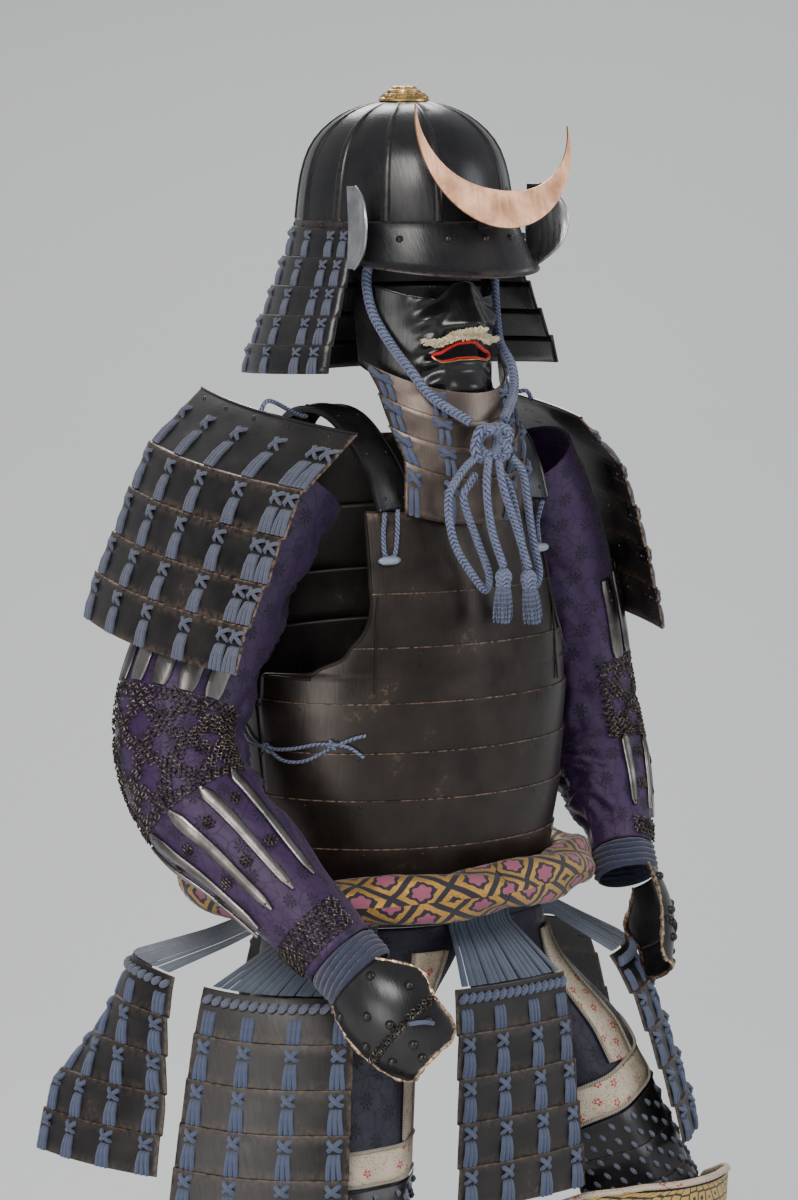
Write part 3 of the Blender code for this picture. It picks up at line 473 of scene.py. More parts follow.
def wear_group():
    """Lacquer wear: cloudy patches, fine scratches, and bare places along worn edges."""
    group, given, out = group_of("lacquer_wear", [("Edge", "NodeSocketFloat", 0.0),
                                                  ("Amount", "NodeSocketFloat", 0.5)],
                                 ["Worn", "Cloud", "Scratch"])
    spot = seat_of(group)
    cloud, fine = blotches(group, spot, 22.0, 5.0), blotches(group, spot, 190.0, 4.0)
    stretched = node(group, "ShaderNodeMapping", {"Vector": spot, "Scale": (600.0, 90.0, 40.0)})
    stretched = stretched.outputs["Vector"]
    chips = times(group, between(group, cloud, 0.62, 0.78), between(group, fine, 0.5, 0.62))
    rim = times(group, given["Edge"], between(group, fine, 0.38, 0.6))
    worn = calc(group, "MAXIMUM", times(group, chips, 0.6), rim)
    group.links.new(times(group, worn, given["Amount"]), out["Worn"])
    group.links.new(cloud, out["Cloud"])
    group.links.new(between(group, blotches(group, stretched, 1.0, 2.0), 0.35, 0.75), out["Scratch"])
    return group


LACQUER_WEAR = wear_group()


def wear_on(tree, amount):
    """The wear of a piece, strongest along the rims that its mesh marks as worn."""
    edge = node(tree, "ShaderNodeAttribute", attribute_name="edge").outputs["Fac"]
    return use_group(tree, LACQUER_WEAR, Edge=edge, Amount=amount)


def lacquer_look(name, deep, pale, bare, amount, gloss, dull, metallic=0.0):
    made, tree, shader = look_of(name, gloss, metallic, Coat_Roughness=0.12)
    wear = wear_on(tree, amount)
    colour = tinted(tree, between(tree, wear["Cloud"], 0.35, 0.7), deep, pale)
    cloudy = between(tree, wear["Cloud"], 0.3, 0.7, gloss, dull)
    rough = plus(tree, cloudy, times(tree, wear["Scratch"], 0.08))
    height = plus(tree, times(tree, wear["Cloud"], 0.5), times(tree, wear["Scratch"], 0.1))
    dressed(tree, shader, tinted(tree, wear["Worn"], colour, bare),
            minus(tree, height, times(tree, wear["Worn"], 0.4)), 0.35, 0.0012,
            rough=plus(tree, rough, times(tree, wear["Worn"], 0.25)))
    return made


BLACK_LACQUER = lacquer_look("black_lacquer_worn", (0.008, 0.008, 0.010), (0.020, 0.019, 0.020),
                             (0.10, 0.065, 0.045), 0.55, 0.20, 0.34, 0.15)
IRON_WALL = 2.2
BOWL_X, BOWL_Y = 112.0, 130.0
BAND_TOP, BAND_STEP, BAND_FOOT = 221.8, 220.2, 205.0
BOWL_ROUND = [(0.12, 351.0), (0.20, 350.2), (0.30, 348.0), (0.40, 344.6), (0.49, 340.4), (0.57, 335.4),
              (0.66, 328.0), (0.745, 319.0), (0.815, 309.0), (0.87, 298.0), (0.912, 285.0), (0.945, 270.0),
              (0.966, 255.0), (0.982, 240.0), (0.993, 226.0), (0.995, 222.4), (1.006, BAND_TOP),
              (1.014, BAND_STEP), (1.016, 213.0), (1.014, 206.6), (1.006, BAND_FOOT)]
RIBS = [24, 52, 80, 108, 136, 164, 196, 224, 252, 280, 308, 336]
RIB_HEIGHT, RIB_HALF = 2.7, 2.6
RIB_SECTION = [(-RIB_HALF, 0.0), (-1.9, 0.7), (-0.7, 1.0), (0.7, 1.0), (1.9, 0.7), (RIB_HALF, 0.0)]


def helmet_columns():
    """Angles round the bowl: a narrow rib, then a plate that swells slightly between ribs."""
    columns = []
    for rib, following in zip(RIBS, RIBS[1:] + [RIBS[0] + 360]):
        columns += [(rib + turn, rise) for turn, rise in RIB_SECTION]
        columns += [(rib + (following - rib) * s, -0.16 * math.sin(math.pi * s)) for s in (0.3, 0.5, 0.7)]
    return columns + [(RIBS[0] + 360 - RIB_HALF, 0.0)]


def helmet_spot(column, row):
    angle, rib = column
    share, height = row
    ribbed = RIB_HEIGHT if BAND_TOP + 0.1 < height < 350.6 else 0.0
    return around(BOWL_X * share, BOWL_Y * share, angle, rib * ribbed) + Vector((0, 0, height))


def bowl_wear(i, j):
    if BOWL_ROUND[j][1] in (BAND_TOP, BAND_STEP, BAND_FOOT):
        return 0.8
    return 0.35 if plate_columns[i][1] == 1.0 else 0.0


plate_columns = helmet_columns()
piece("lacquered_bowl", formed(helmet_spot, plate_columns, BOWL_ROUND, closed=True, edge=bowl_wear),
      BLACK_LACQUER, "black_lacquer", "helmet_bowl", wall=IRON_WALL)


def rivet(into, spot, out, half, tall):
    """A domed rivet head, its foot sunk a little into what it holds."""
    turn = Vector(out).normalized().to_track_quat("Z", "Y").to_matrix()
    dome = [(0.02, tall), (half * 0.45, tall * 0.9), (half * 0.8, tall * 0.55), (half, 0.0), (half, -0.8)]
    formed(lambda a, row: Vector(spot) + turn @ Vector((row[0] * math.cos(a), row[0] * math.sin(a), row[1])),
           steps(0, math.tau, 10), dome, into, closed=True)


rivets = bmesh.new()
for angle in range(72, 290, 18):
    seat = around(BOWL_X * 1.014, BOWL_Y * 1.014, angle) + Vector((0, 0, 216.6))
    rivet(rivets, seat, around(1, 1, angle), 2.4, 1.7)
piece("band_rivets", rivets, BLACK_LACQUER, "black_lacquer")

# Crown ornament: gilt copper, turned and chased
# Stepped rings stand on a petal plate over the hole at the top of the bowl, each ring edged
# with twisted rope beading.


def metal_look(name, light, dark, rough, scale=40.0, scratched=0.5):
    """Polished or gilt metal, darker in its hollows, with fine rubbing marks."""
    made, tree, shader = look_of(name, rough, 1.0)
    wear = wear_on(tree, 1.0)
    stain = blotches(tree, seat_of(tree), scale, 6.0)
    colour = tinted(tree, between(tree, stain, 0.38, 0.66), dark, light)
    colour = tinted(tree, times(tree, wear["Worn"], 0.5), colour, [min(1.0, c * 1.25) for c in light])
    scratches = times(tree, wear["Scratch"], 0.14 * scratched)
    dressed(tree, shader, colour, plus(tree, stain, scratches), 0.25, 0.0007,
            rough=plus(tree, between(tree, stain, 0.3, 0.7, rough + 0.12, rough - 0.06), scratches))
    return made


OLD_GILT = metal_look("old_gilt", (0.80, 0.58, 0.26), (0.36, 0.23, 0.09), 0.30, 90.0)
CROWN_STEPS = [(9.0, 352.4), (9.0, 365.4), (9.8, 366.3), (11.8, 366.5), (12.8, 365.9), (13.2, 363.6),
               (14.2, 363.1), (16.4, 362.9), (17.4, 362.2), (18.2, 359.2), (19.2, 358.5), (21.8, 358.3),
               (22.8, 357.6), (24.2, 354.6), (25.0, 354.1), (27.2, 353.1), (28.0, 352.2), (28.0, 350.3)]
CROWN_ROPES = [(12.6, 364.2, 0.95, 26), (17.4, 360.2, 1.05, 34), (22.7, 355.8, 1.2, 40)]
PETAL_LINE = [(20.0, 358.6), (22.0, 358.4), (24.0, 356.0), (27.0, 354.2)]
PETALS, CUTS_A_BEAD = 12, 6

crown = formed(lambda a, row: Vector((row[0] * math.sin(a), -row[0] * math.cos(a), row[1])),
               steps(0, math.tau, 64), CROWN_STEPS, closed=True)
for radius, height, thick, beads in CROWN_ROPES:
    rope = []
    for k in range(beads * CUTS_A_BEAD + 1):
        a, twist = math.tau * k / (beads * CUTS_A_BEAD), math.tau * k / CUTS_A_BEAD
        r = radius + 0.5 * math.cos(twist)
        rope.append((r * math.cos(a), r * math.sin(a), height + 0.5 * math.sin(twist)))
    tube(rope, thick, crown, sides=6)
for petal in range(PETALS):
    a = math.tau * petal / PETALS
    tube([(r * math.cos(a), r * math.sin(a), z) for r, z in PETAL_LINE], 0.9, crown, sides=6)
piece("gilt_crown", crown, OLD_GILT, "gilt", "crown_ornament")

# Brow plate: black lacquered iron
# A steep peak riveted to the front of the bowl by five domed rivets, its lower edge rolled
# outwards for stiffness.

BRIM_ANGLE, BRIM_TOP = 65.0, 221.5
BRIM_FOLD = [(0.0, 0.0), (0.03, 0.5), (0.15, 0.0), (0.45, 0.0), (0.8, 0.1), (0.88, 0.8), (0.915, 2.2),
             (0.935, 3.8), (0.955, 4.9), (0.98, 5.2), (1.0, 5.0)]
BROW_RIVETS = [(-21, 0.30), (19, 0.30), (44, 0.34), (-44, 0.34), (0, 0.3)]
BROW_OVERLAP = [(-14.0, 0.0), (-9.0, 0.10), (-4.0, 0.16), (0.0, 0.24), (4.0, 0.16), (9.0, 0.10), (14.0, 0.0)]


def brow_spot(angle, row):
    share, lip = row
    sideways = abs(angle) / BRIM_ANGLE
    drop = 58.0 - 15.0 * sideways**2
    reach = (26.0 - 12.0 * sideways**2) * share
    flat = around(BOWL_X * 1.012, BOWL_Y * 1.012, angle, 3.1 + reach + lip)
    return flat + Vector((0, 0, BRIM_TOP - drop * share - lip * 0.2))


piece("brow_plate", formed(brow_spot, steps(-BRIM_ANGLE, BRIM_ANGLE, 40), BRIM_FOLD,
                           edge=lambda i, j: 0.7 if j in (8, 9, 10) else 0.0),
      BLACK_LACQUER, "black_lacquer", "helmet_brim", wall=IRON_WALL, soften=0.5)
rivets = bmesh.new()
for angle, share in BROW_RIVETS:
    rivet(rivets, brow_spot(angle, (share, 0)), around(1, 1, angle) + Vector((0, 0, 0.4)), 4.3, 3.2)
formed(lambda u, v: brow_spot(u[0], (u[1] * v, 0)) + around(1.4, 1.4, u[0]), BROW_OVERLAP, [0.0, 0.5, 1.0],
       rivets)
piece("brow_rivets", rivets, BLACK_LACQUER, "black_lacquer")

# Neck guard: five lacquered lames hung on silk
# Curved strips, each lower one outside the last, held by pairs of cords that cross on every
# lame. The lower edges have worn to the copper colour under the lacquer.

LACED_STEP = 4.2
NAPE_TOP, NAPE_FOOT, NAPE_ANGLE = 214.0, 62.0, 66.5
NAPE_SIZES = [(0.0, 113.4, 131.6), (0.2, 121.0, 138.0), (0.5, 141.0, 154.0), (0.8, 162.0, 172.0),
              (1.0, 173.0, 182.0)]
NAPE_LACES = [73, 81, 98, 118, 139, 159, 180, 201, 221, 242, 262, 279, 287]


def lames(first, last, count, step, top_step=None):
    """Rows of (share, step out) down overlapping strips."""
    rows = []
    for k in range(count):
        rows.append((first + (last - first) * k / count, step))
        rows.append((first + (last - first) * (k + 1) / count, 0.0))
    if top_step is not None:
        rows[0] = (first, top_step)
    return rows


def fine_lames(rows, cuts=4):
    """The same strips with a rounded top edge and more rows between."""
    fine, worn = [], []
    for (top, high), (bottom, low) in zip(rows[::2], rows[1::2]):
        span = bottom - top
        fine += [(top, high - 1.3), (top + span * 0.006, high - 0.35), (top + span * 0.03, high)]
        worn += [0.9, 1.0, 0.25]
        for k in range(1, cuts + 1):
            share = 0.03 + 0.97 * k / cuts
            fine.append((top + span * share, high + (low - high) * share))
            worn.append(0.0 if k < cuts else 0.35)
    return fine, worn


def step_at(rows, share):
    """How far the strips' outer face stands out at this share of the length."""
    for (top, high), (bottom, low) in zip(rows[::2], rows[1::2]):
        if share <= bottom:
            return high + (low - high) * max(0.0, share - top) / (bottom - top)
    return rows[-1][1]


def nape_spot(angle, row, out=0.0):
    share, step = row
    back = 1 - abs(angle - 180) / (180 - NAPE_ANGLE)
    height = NAPE_TOP + (NAPE_FOOT - 16.0 * back - NAPE_TOP) * share
    flat = around(read(NAPE_SIZES, share, 1), read(NAPE_SIZES, share, 2), angle, 2.5 + step + out)
    return flat + Vector((0, 0, height))


NAPE_ROWS = lames(0.0, 1.0, 5, LACED_STEP, 0.6)
fine, worn = fine_lames(NAPE_ROWS)
made = formed(nape_spot, steps(NAPE_ANGLE, 360 - NAPE_ANGLE, 56), fine, edge=lambda i, j: worn[j])
piece("neck_lames", made, BLACK_LACQUER, "black_lacquer", "neck_guard", wall=IRON_WALL)

LACE_GREY = braid_look("lace_grey_blue", (0.120, 0.135, 0.195), (0.022, 0.027, 0.05), 0.0044)
KNOT_AT, KNOT_REACH, STRAND_STEP = 0.24, 0.115, 1.75
BUNDLE = [(0.75, 0.46, -1.0), (0.8, 0.50, 0.0), (1.0, 0.72, 0.45), (1.12, 0.95, 0.0), (1.12, 0.995, -0.2)]


def lace_marks(into, spot, rows, across, size, unit, half=1.7, strands=3, first=0):
    """On each strip from the first: a crossed knot, and a bundle of cords down to the next strip."""
    for (top, _), (bottom, _) in list(zip(rows[::2], rows[1::2]))[first:]:
        span = bottom - top

        def at(sideways, share, lift):
            share = min(max(share, rows[0][0]), rows[-1][0])
            return spot(across + sideways * unit, (share, step_at(rows, share)), half * 0.55 + lift)

        cross, reach = top + span * KNOT_AT, span * KNOT_REACH
        for hand in (-1, 1):
            over = 0.5 * half if hand > 0 else 0.0
            line = [at(hand * size * wide, cross + reach * wide, lift)
                    for wide, lift in ((-1.0, -half), (-0.8, over * 0.4), (0.0, half * 0.75 + over),
                                       (0.8, over * 0.4), (1.0, -half))]
            tube(line, half, into, sides=6, flat=0.75)
        for k in range(strands):
            sideways = (k - (strands - 1) / 2) * half * STRAND_STEP
            line = [at(sideways * wide, top + span * share, half * lift) for wide, share, lift in BUNDLE]
            tube(line, half, into, sides=6, flat=0.75)


laces = bmesh.new()
for angle in NAPE_LACES:
    lace_marks(laces, nape_spot, NAPE_ROWS, angle, 3.9, 0.40, 1.9)
piece("neck_laces", laces, LACE_GREY, "blue_lace")

# Turn-backs: polished steel leaves
# The guard's top strip bends outwards at each temple to turn a blade, its edge bound with a
# narrow rolled rim.

BRIGHT_STEEL = metal_look("bright_steel", (0.62, 0.62, 0.63), (0.33, 0.33, 0.35), 0.24, 34.0, 1.0)
LEAF_ROWS = [(0.0, 0.35), (0.04, 0.5), (0.12, 0.72), (0.2, 0.86), (0.3, 0.95), (0.4, 0.99), (0.5, 1.0),
             (0.6, 0.965), (0.7, 0.9), (0.8, 0.78), (0.88, 0.62), (0.95, 0.45), (1.0, 0.3)]
LEAF_TOP, LEAF_LONG, LEAF_WIDE, LEAF_CURL = 260.0, 88.0, 52.0, 16.0

for side, hand in HAND.items():
    def leaf_spot(across, row):
        share, width = row
        curl = across * width
        height = LEAF_TOP - LEAF_LONG * share
        x = 123.6 + LEAF_CURL * curl**2 + 0.05 * abs(height - 214.0)
        return Vector((hand * x, -61.0 - LEAF_WIDE * curl, height))

    across = steps(1.0, 0.0, 10) if side == "l" else steps(0.0, 1.0, 10)
    piece("steel_turnback_" + side, formed(leaf_spot, across, LEAF_ROWS), BRIGHT_STEEL, "polished_steel",
          "turnback_" + side, wall=2.0, soften=0.6)
    rim = drawn([leaf_spot(1.0, row) for row in LEAF_ROWS], 40)
    piece("turnback_rim_" + side, tube(rim, 1.5), BRIGHT_STEEL, "polished_steel")

# Crest: a wide crescent of gilt copper
# One flat sheet, cut and lightly polished, slotted into a small lacquered holder on the peak.

ROSE_GILT = metal_look("rose_gilt_copper", (0.66, 0.36, 0.22), (0.44, 0.225, 0.125), 0.30, 26.0, 1.0)
CREST_RADIUS, CREST_SWEEP, CREST_WIDE, CREST_HALF = 105.0, 101, 42.0, 1.1
CREST_FOOT, CREST_LEAN, CREST_ROLL = Vector((0.0, -168.0, 216.0)), math.radians(-16), math.radians(7)
CREST_SECTION = [(0.0, 0.5), (0.012, CREST_HALF), (0.5, CREST_HALF), (0.988, CREST_HALF), (1.0, 0.5),
                 (1.0, -0.5), (0.988, -CREST_HALF), (0.5, -CREST_HALF), (0.012, -CREST_HALF), (0.0, -0.5),
                 (0.0, 0.5)]
crest_place = (Matrix.Translation(CREST_FOOT * MM) @ Matrix.Rotation(CREST_LEAN, 4, "X")
               @ Matrix.Rotation(CREST_ROLL, 4, "Y") @ Matrix.Rotation(math.pi / 2, 4, "X"))


def crest_spot(angle, row):
    turn = math.radians(angle)
    wide = CREST_WIDE * max(0.02, math.cos(math.radians(angle * 90 / (CREST_SWEEP + 2)))) ** 1.4
    reach = CREST_RADIUS - wide * row[0]
    flat = Vector((reach * math.sin(turn), CREST_RADIUS - reach * math.cos(turn), row[1]))
    return (crest_place @ (flat * MM)) / MM


crescent = formed(crest_spot, steps(-CREST_SWEEP, CREST_SWEEP, 96), CREST_SECTION, closed=True, capped=True,
                  edge=lambda i, j: 1.0 if j in (0, 1, 3, 4) else 0.0)
piece("gilt_crescent", crescent, ROSE_GILT, "gilt_copper", "crest", angle=35)
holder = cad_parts["crest_holder"]
holder.data.materials.clear()
holder.data.materials.append(BLACK_LACQUER)

# Mask: one sheet of hammered iron, black lacquered
# Nose, cheek folds, lips and chin are raised from the back; the lips are painted red and the
# lower edge of the mouth is gilt. It belongs to nobody: a plain armourer's pattern.

NOSE = [(88.0, 0.0), (101.0, 5.0), (106.0, 23.0), (113.0, 28.0), (130.0, 17.0), (148.0, 8.0), (158.0, 3.0)]
MASK_TOP = [(0, 158.0), (8, 155.0), (20, 138.0), (40, 143.0), (76, 160.0)]
MASK_FOOT = [(0, 26.0), (30, 29.0), (55, 46.0), (76, 68.0)]
MASK_SIDE, MOUTH_WIDE = 76, 26.0
MOUTH_TOP, MOUTH_MIDDLE, MOUTH_FOOT, MOUTH_HALF = 0.5, 0.565, 0.63, 0.065


def bump_at(value, middle, width):
    """A smooth rise round a middle value, from 0 to 1 and back."""
    return math.exp(-(((value - middle) / width) ** 2))


def mask_height(angle, share):
    top, bottom = read(MASK_TOP, abs(angle)), read(MASK_FOOT, abs(angle))
    return top + (bottom - top) * share


def mask_spot(angle, share, out=0.0):
    height, side = mask_height(angle, share), abs(angle)
    width = 4.0 + 8.5 * max(0.0, 1 - abs(height - 110.0) / 50.0)
    bridge = read(NOSE, height) * math.exp(-((side / width) ** 2) / 1.6)
    cheek = 8.5 * bump_at(side, 27, 12) * bump_at(height, 114, 20)
    fold = 3.2 * bump_at(side, 26, 9) * math.cos((height + side * 0.8) * 0.27)
    lips = 6.0 * bump_at(side, 0, 22) * (bump_at(height, 94, 5) + bump_at(height, 69, 6))
    chin = 11.0 * bump_at(side, 0, 18) * bump_at(height, 44, 13)
    rim = -2.0 * bump_at(height, 26, 6) * bump_at(side, 0, 26)
    return face_point(angle, height, bridge + cheek + fold * 0.8 + lips + chin + rim + out)


def mouth_opening(angle):
    return MOUTH_HALF * math.sqrt(max(0.0, 1 - (angle / MOUTH_WIDE) ** 2))


def mask_mapped(angle, share):
    """The grid's rows close together at the corners of the mouth."""
    open_here = mouth_opening(angle)
    if share <= MOUTH_TOP:
        share = share / MOUTH_TOP * (MOUTH_MIDDLE - open_here)
    elif share >= MOUTH_FOOT:
        share = 1 - (1 - share) / (1 - MOUTH_FOOT) * (1 - MOUTH_MIDDLE - open_here)
    else:
        share = MOUTH_MIDDLE + (share - MOUTH_MIDDLE) / MOUTH_HALF * open_here
    return mask_spot(angle, share)


def mask_sheet():
    """The mask's grid, with the faces inside the mouth cut away."""
    shares = steps(0.0, MOUTH_TOP, 34) + steps(MOUTH_FOOT, 1.0, 24)
    made = formed(mask_mapped, steps(-MASK_SIDE, MASK_SIDE, 76), shares,
                  edge=lambda i, j: 0.8 if j in (0, 58) or i in (0, 76) else 0.0)
    hole = []
    for face in made.faces:
        middle = face.calc_center_median() / MM
        angle = math.degrees(math.atan2(middle.x, -middle.y))
        low, high = mask_spot(angle, MOUTH_TOP + 0.125), mask_spot(angle, MOUTH_TOP)
        if abs(angle) < MOUTH_WIDE - 1 and low.z < middle.z < high.z and face.calc_area() > 0:
            top, foot = mask_height(angle, 0.0), mask_height(angle, 1.0)
            share = (top - middle.z) / (top - foot)
            if abs(share - MOUTH_MIDDLE) < mouth_opening(angle) * 0.97:
                hole.append(face)
    bmesh.ops.delete(made, geom=hole, context="FACES")
    bmesh.ops.remove_doubles(made, verts=made.verts[:], dist=0.000005)
    return made


def lip_line(sign, out, grow):
    return [mask_spot(angle, MOUTH_MIDDLE + sign * mouth_opening(angle) * grow, out)
            for angle in steps(-MOUTH_WIDE, MOUTH_WIDE, 40)]


MASK_LACQUER = lacquer_look("mask_lacquer", (0.008, 0.008, 0.009), (0.016, 0.015, 0.016),
                            (0.08, 0.055, 0.04), 0.6, 0.16, 0.28, 0.1)
RED_LACQUER = lacquer_look("red_lacquer", (0.42, 0.012, 0.010), (0.55, 0.03, 0.02), (0.1, 0.02, 0.02),
                           0.4, 0.2, 0.3)
piece("armour_mask", mask_sheet(), MASK_LACQUER, "black_lacquer", "mask", wall=2.0, rounds=1, angle=75)
lips = tube(lip_line(-1, 0.4, 1.0), 2.0)
tube(lip_line(1, 0.2, 1.0), 1.3, lips)
piece("painted_lips", lips, RED_LACQUER, "black_lacquer")
piece("gilt_lip", tube(lip_line(1, 1.2, 1.22), 0.9, sides=6), OLD_GILT, "gilt")
mask_rim = bmesh.new()
for share, half in ((0.997, 1.7), (0.004, 1.3)):
    tube([mask_spot(a, share, -0.6) for a in steps(-MASK_SIDE, MASK_SIDE, 60)], half, mask_rim)
piece("mask_rim", mask_rim, MASK_LACQUER, "black_lacquer")

# Moustache: cream hair
# Locks of stiff hair are drawn through holes above the lip and trimmed to a short thick band
# that turns up at its ends.

HAIR_WIDE, HAIR_AT, HAIR_TOP, HAIR_FOOT = 30.0, 0.425, 0.05, 0.045
HAIRS, HAIR_LONG, HAIR_HALF = 760, 9.0, 0.48


def hair_look():
    made, tree, shader = look_of("cream_hair", 0.62, Sheen_Weight=0.3)
    shade = between(tree, blotches(tree, seat_of(tree), 320.0, 2.0), 0.35, 0.65)
    dressed(tree, shader, tinted(tree, shade, (0.56, 0.45, 0.27), (0.90, 0.82, 0.62)))
    return made


def hair_pad(u, v):
    """The bed the locks stand in, thickest at its middle."""
    return mask_spot(u * HAIR_WIDE, HAIR_AT + v * (1 - 0.55 * u * u),
                     1.0 + 3.2 * (1 - abs(v) / HAIR_TOP) * (1 - u * u))


moustache = formed(hair_pad, steps(-1, 1, 24), steps(-HAIR_TOP, HAIR_FOOT, 8))
chance = random.Random(5)
for k in range(HAIRS):
    across = chance.uniform(-1, 1)
    down = chance.uniform(-0.045, 0.035) * (1 - 0.5 * across**2)
    angle = across * HAIR_WIDE
    root = mask_spot(angle, HAIR_AT + down, 1.5)
    out = around(1, 1, angle)
    along = Vector((-out.y, out.x, 0))
    away = along * (across * 1.1 + chance.uniform(-0.3, 0.3))
    long = HAIR_LONG * (1 - 0.35 * across**2) * chance.uniform(0.75, 1.1)
    bend = out * (0.65 + chance.uniform(-0.15, 0.15)) + away * 0.6 + Vector((0, 0, 0.10 - down * 9))
    tip = out * 0.35 + away * 0.9 + Vector((0, 0, -0.42 + chance.uniform(-0.15, 0.15)))
    knee = root + bend * long * 0.5
    tube([root, knee, knee + tip * long * 0.55], HAIR_HALF, moustache, sides=3)
piece("hair_moustache", moustache, hair_look(), "fur", "moustache")

# Throat guard: four laced lames of brown iron
# It hangs from the mask's jaw on silk, curved to the throat, and its lowest strip lies on the
# breastplate.

BROWN_IRON = lacquer_look("brown_iron", (0.075, 0.058, 0.050), (0.17, 0.135, 0.115), (0.36, 0.25, 0.18), 0.8,
                          0.26, 0.40, 0.75)
THROAT_TOP, THROAT_LONG = 38.0, 142.0
THROAT_WIDTH = [(0.0, 67.0), (0.42, 51.5), (0.65, 40.5), (1.0, 34.0)]
THROAT_ROWS = [(0.0, 0.0), (0.21, 0.0), (0.21, LACED_STEP), (0.42, 0.0), (0.42, LACED_STEP), (0.65, 0.0),
               (0.65, LACED_STEP), (1.0, 0.0)]


def throat_spot(across, row, out=0.0):
    share, step = row
    rise = 34.0 * across**2 * (1 - 0.55 * share)
    return face_point(across * read(THROAT_WIDTH, share), THROAT_TOP + rise - THROAT_LONG * share,
                      15.6 - 2.6 * share + step + out)


fine, worn = fine_lames(THROAT_ROWS, 5)
fine[:3] = [(0.0, 0.0), (0.004, 0.0), (0.01, 0.0)]
piece("throat_lames", formed(throat_spot, steps(-1.0, 1.0, 48), fine,
                             edge=lambda i, j: 0.6 * worn[j] if 0 < i < 48 else 0.8),
      BROWN_IRON, "brown_lacquer", "throat_guard", wall=IRON_WALL)
LACE_BLUE = braid_look("lace_blue", (0.092, 0.118, 0.205), (0.018, 0.027, 0.06), 0.0044)
laces = bmesh.new()
for across in (-0.88, -0.42, 0.42, 0.88):
    lace_marks(laces, throat_spot, THROAT_ROWS, across, 5.6, 0.0145, 2.8, 2)
piece("throat_laces", laces, LACE_BLUE, "blue_lace")

# Cuirass: riveted strips of brown-black lacquered iron
# Broad strips go round the body in a front and a back half, hinged at the left; each strip's
# edge has worn to bare copper-coloured metal, and the armholes have a rolled rim.

CUIRASS_LACQUER = lacquer_look("cuirass_lacquer", (0.021, 0.0165, 0.014), (0.040, 0.031, 0.026),
                               (0.42, 0.27, 0.19), 0.6, 0.24, 0.36, 0.55)
TORSO = [(-505.0, 174.0, 133.0), (-470.0, 180.0, 138.0), (-400.0, 192.0, 144.0), (-300.0, 199.0, 146.0),
         (-200.0, 190.0, 140.0), (-140.0, 170.0, 131.0), (-90.0, 158.0, 122.0), (-40.0, 146.0, 112.0),
         (0.0, 132.0, 96.0)]
SEAM, ARMHOLE_FOOT, STRIP_RISE = 89.8, -264.0, 2.0
FRONT_WIDTH = [(-505.0, SEAM), (-266.0, SEAM), (-262.0, 66.0), (-245.0, 52.0), (-215.0, 44.0), (-190.0, 42.0),
               (-88.0, 48.0)]
BACK_WIDTH = [(-505.0, SEAM), (-266.0, SEAM), (-262.0, 72.0), (-245.0, 62.0), (-190.0, 55.0), (-30.0, 46.0)]
LOWER_LINES = [-174.0, -232.0, -292.0, -346.0, -398.0, -452.0, -503.0]
FRONT_LINES, BACK_LINES = [-88.0] + LOWER_LINES, [-22.0, -100.0] + LOWER_LINES
FRONT_RIM = [-89, -120, -160, -190, -215, -232, -245, -254, -262, -265.5]
BACK_RIM = [-30, -80, -130, -190, -220, -245, -256, -262, -265.5]


def torso_spot(angle, height, out=0.0):
    return around(read(TORSO, height, 1), read(TORSO, height, 2), angle, out) + Vector((0, 0, height))


def strip_rows(lines):
    """Rows as (height, step out, worn): a rounded, bare edge at the top of each strip."""
    rows = [(lines[0], 0.6, 0.6), (lines[0] - 0.9, STRIP_RISE, 0.6)]
    for top, bottom in zip(lines, lines[1:]):
        for share in (0.12, 0.3, 0.5, 0.7, 0.88):
            height = top + (bottom - top) * share
            if abs(height - ARMHOLE_FOOT) > 4.0:
                rows.append((height, STRIP_RISE * (1 - share), 0.0))
        if bottom < ARMHOLE_FOOT < top:
            for height in (-258.0, -262.0, -266.0, -270.0):
                rows.append((height, STRIP_RISE * (height - bottom) / (top - bottom), 0.0))
        rows += [(bottom + 0.9, 0.05, 0.0), (bottom, 0.0, 0.0)]
        if bottom != lines[-1]:
            rows += [(bottom, 1.3, 1.0), (bottom - 0.6, STRIP_RISE, 1.0), (bottom - 1.3, STRIP_RISE, 0.0)]
    return sorted(rows, key=lambda r: (-r[0], r[1]))


def beyond_armhole(angle, line):
    """Whether a rivet under this line would stand in the armhole or on the plain breast."""
    clear_front = abs(angle) > read(FRONT_WIDTH, line - 8) - 3
    clear_back = 180 - abs(angle) > read(BACK_WIDTH, line - 8) - 3
    return (line > -266 and clear_front and clear_back) or (abs(angle) < 90 and line > -170)


for name, table, lines, front in (("cuirass_front", FRONT_WIDTH, FRONT_LINES, 0),
                                  ("cuirass_back", BACK_WIDTH, BACK_LINES, 180)):
    rows = strip_rows(lines)
    made = formed(lambda u, v: torso_spot(front + u * read(table, v[0]), v[0], v[1]), steps(-1.0, 1.0, 72),
                  rows, edge=lambda i, j: rows[j][2])
    piece("riveted_" + name, made, CUIRASS_LACQUER, "brown_lacquer", name, wall=2.0, angle=34)

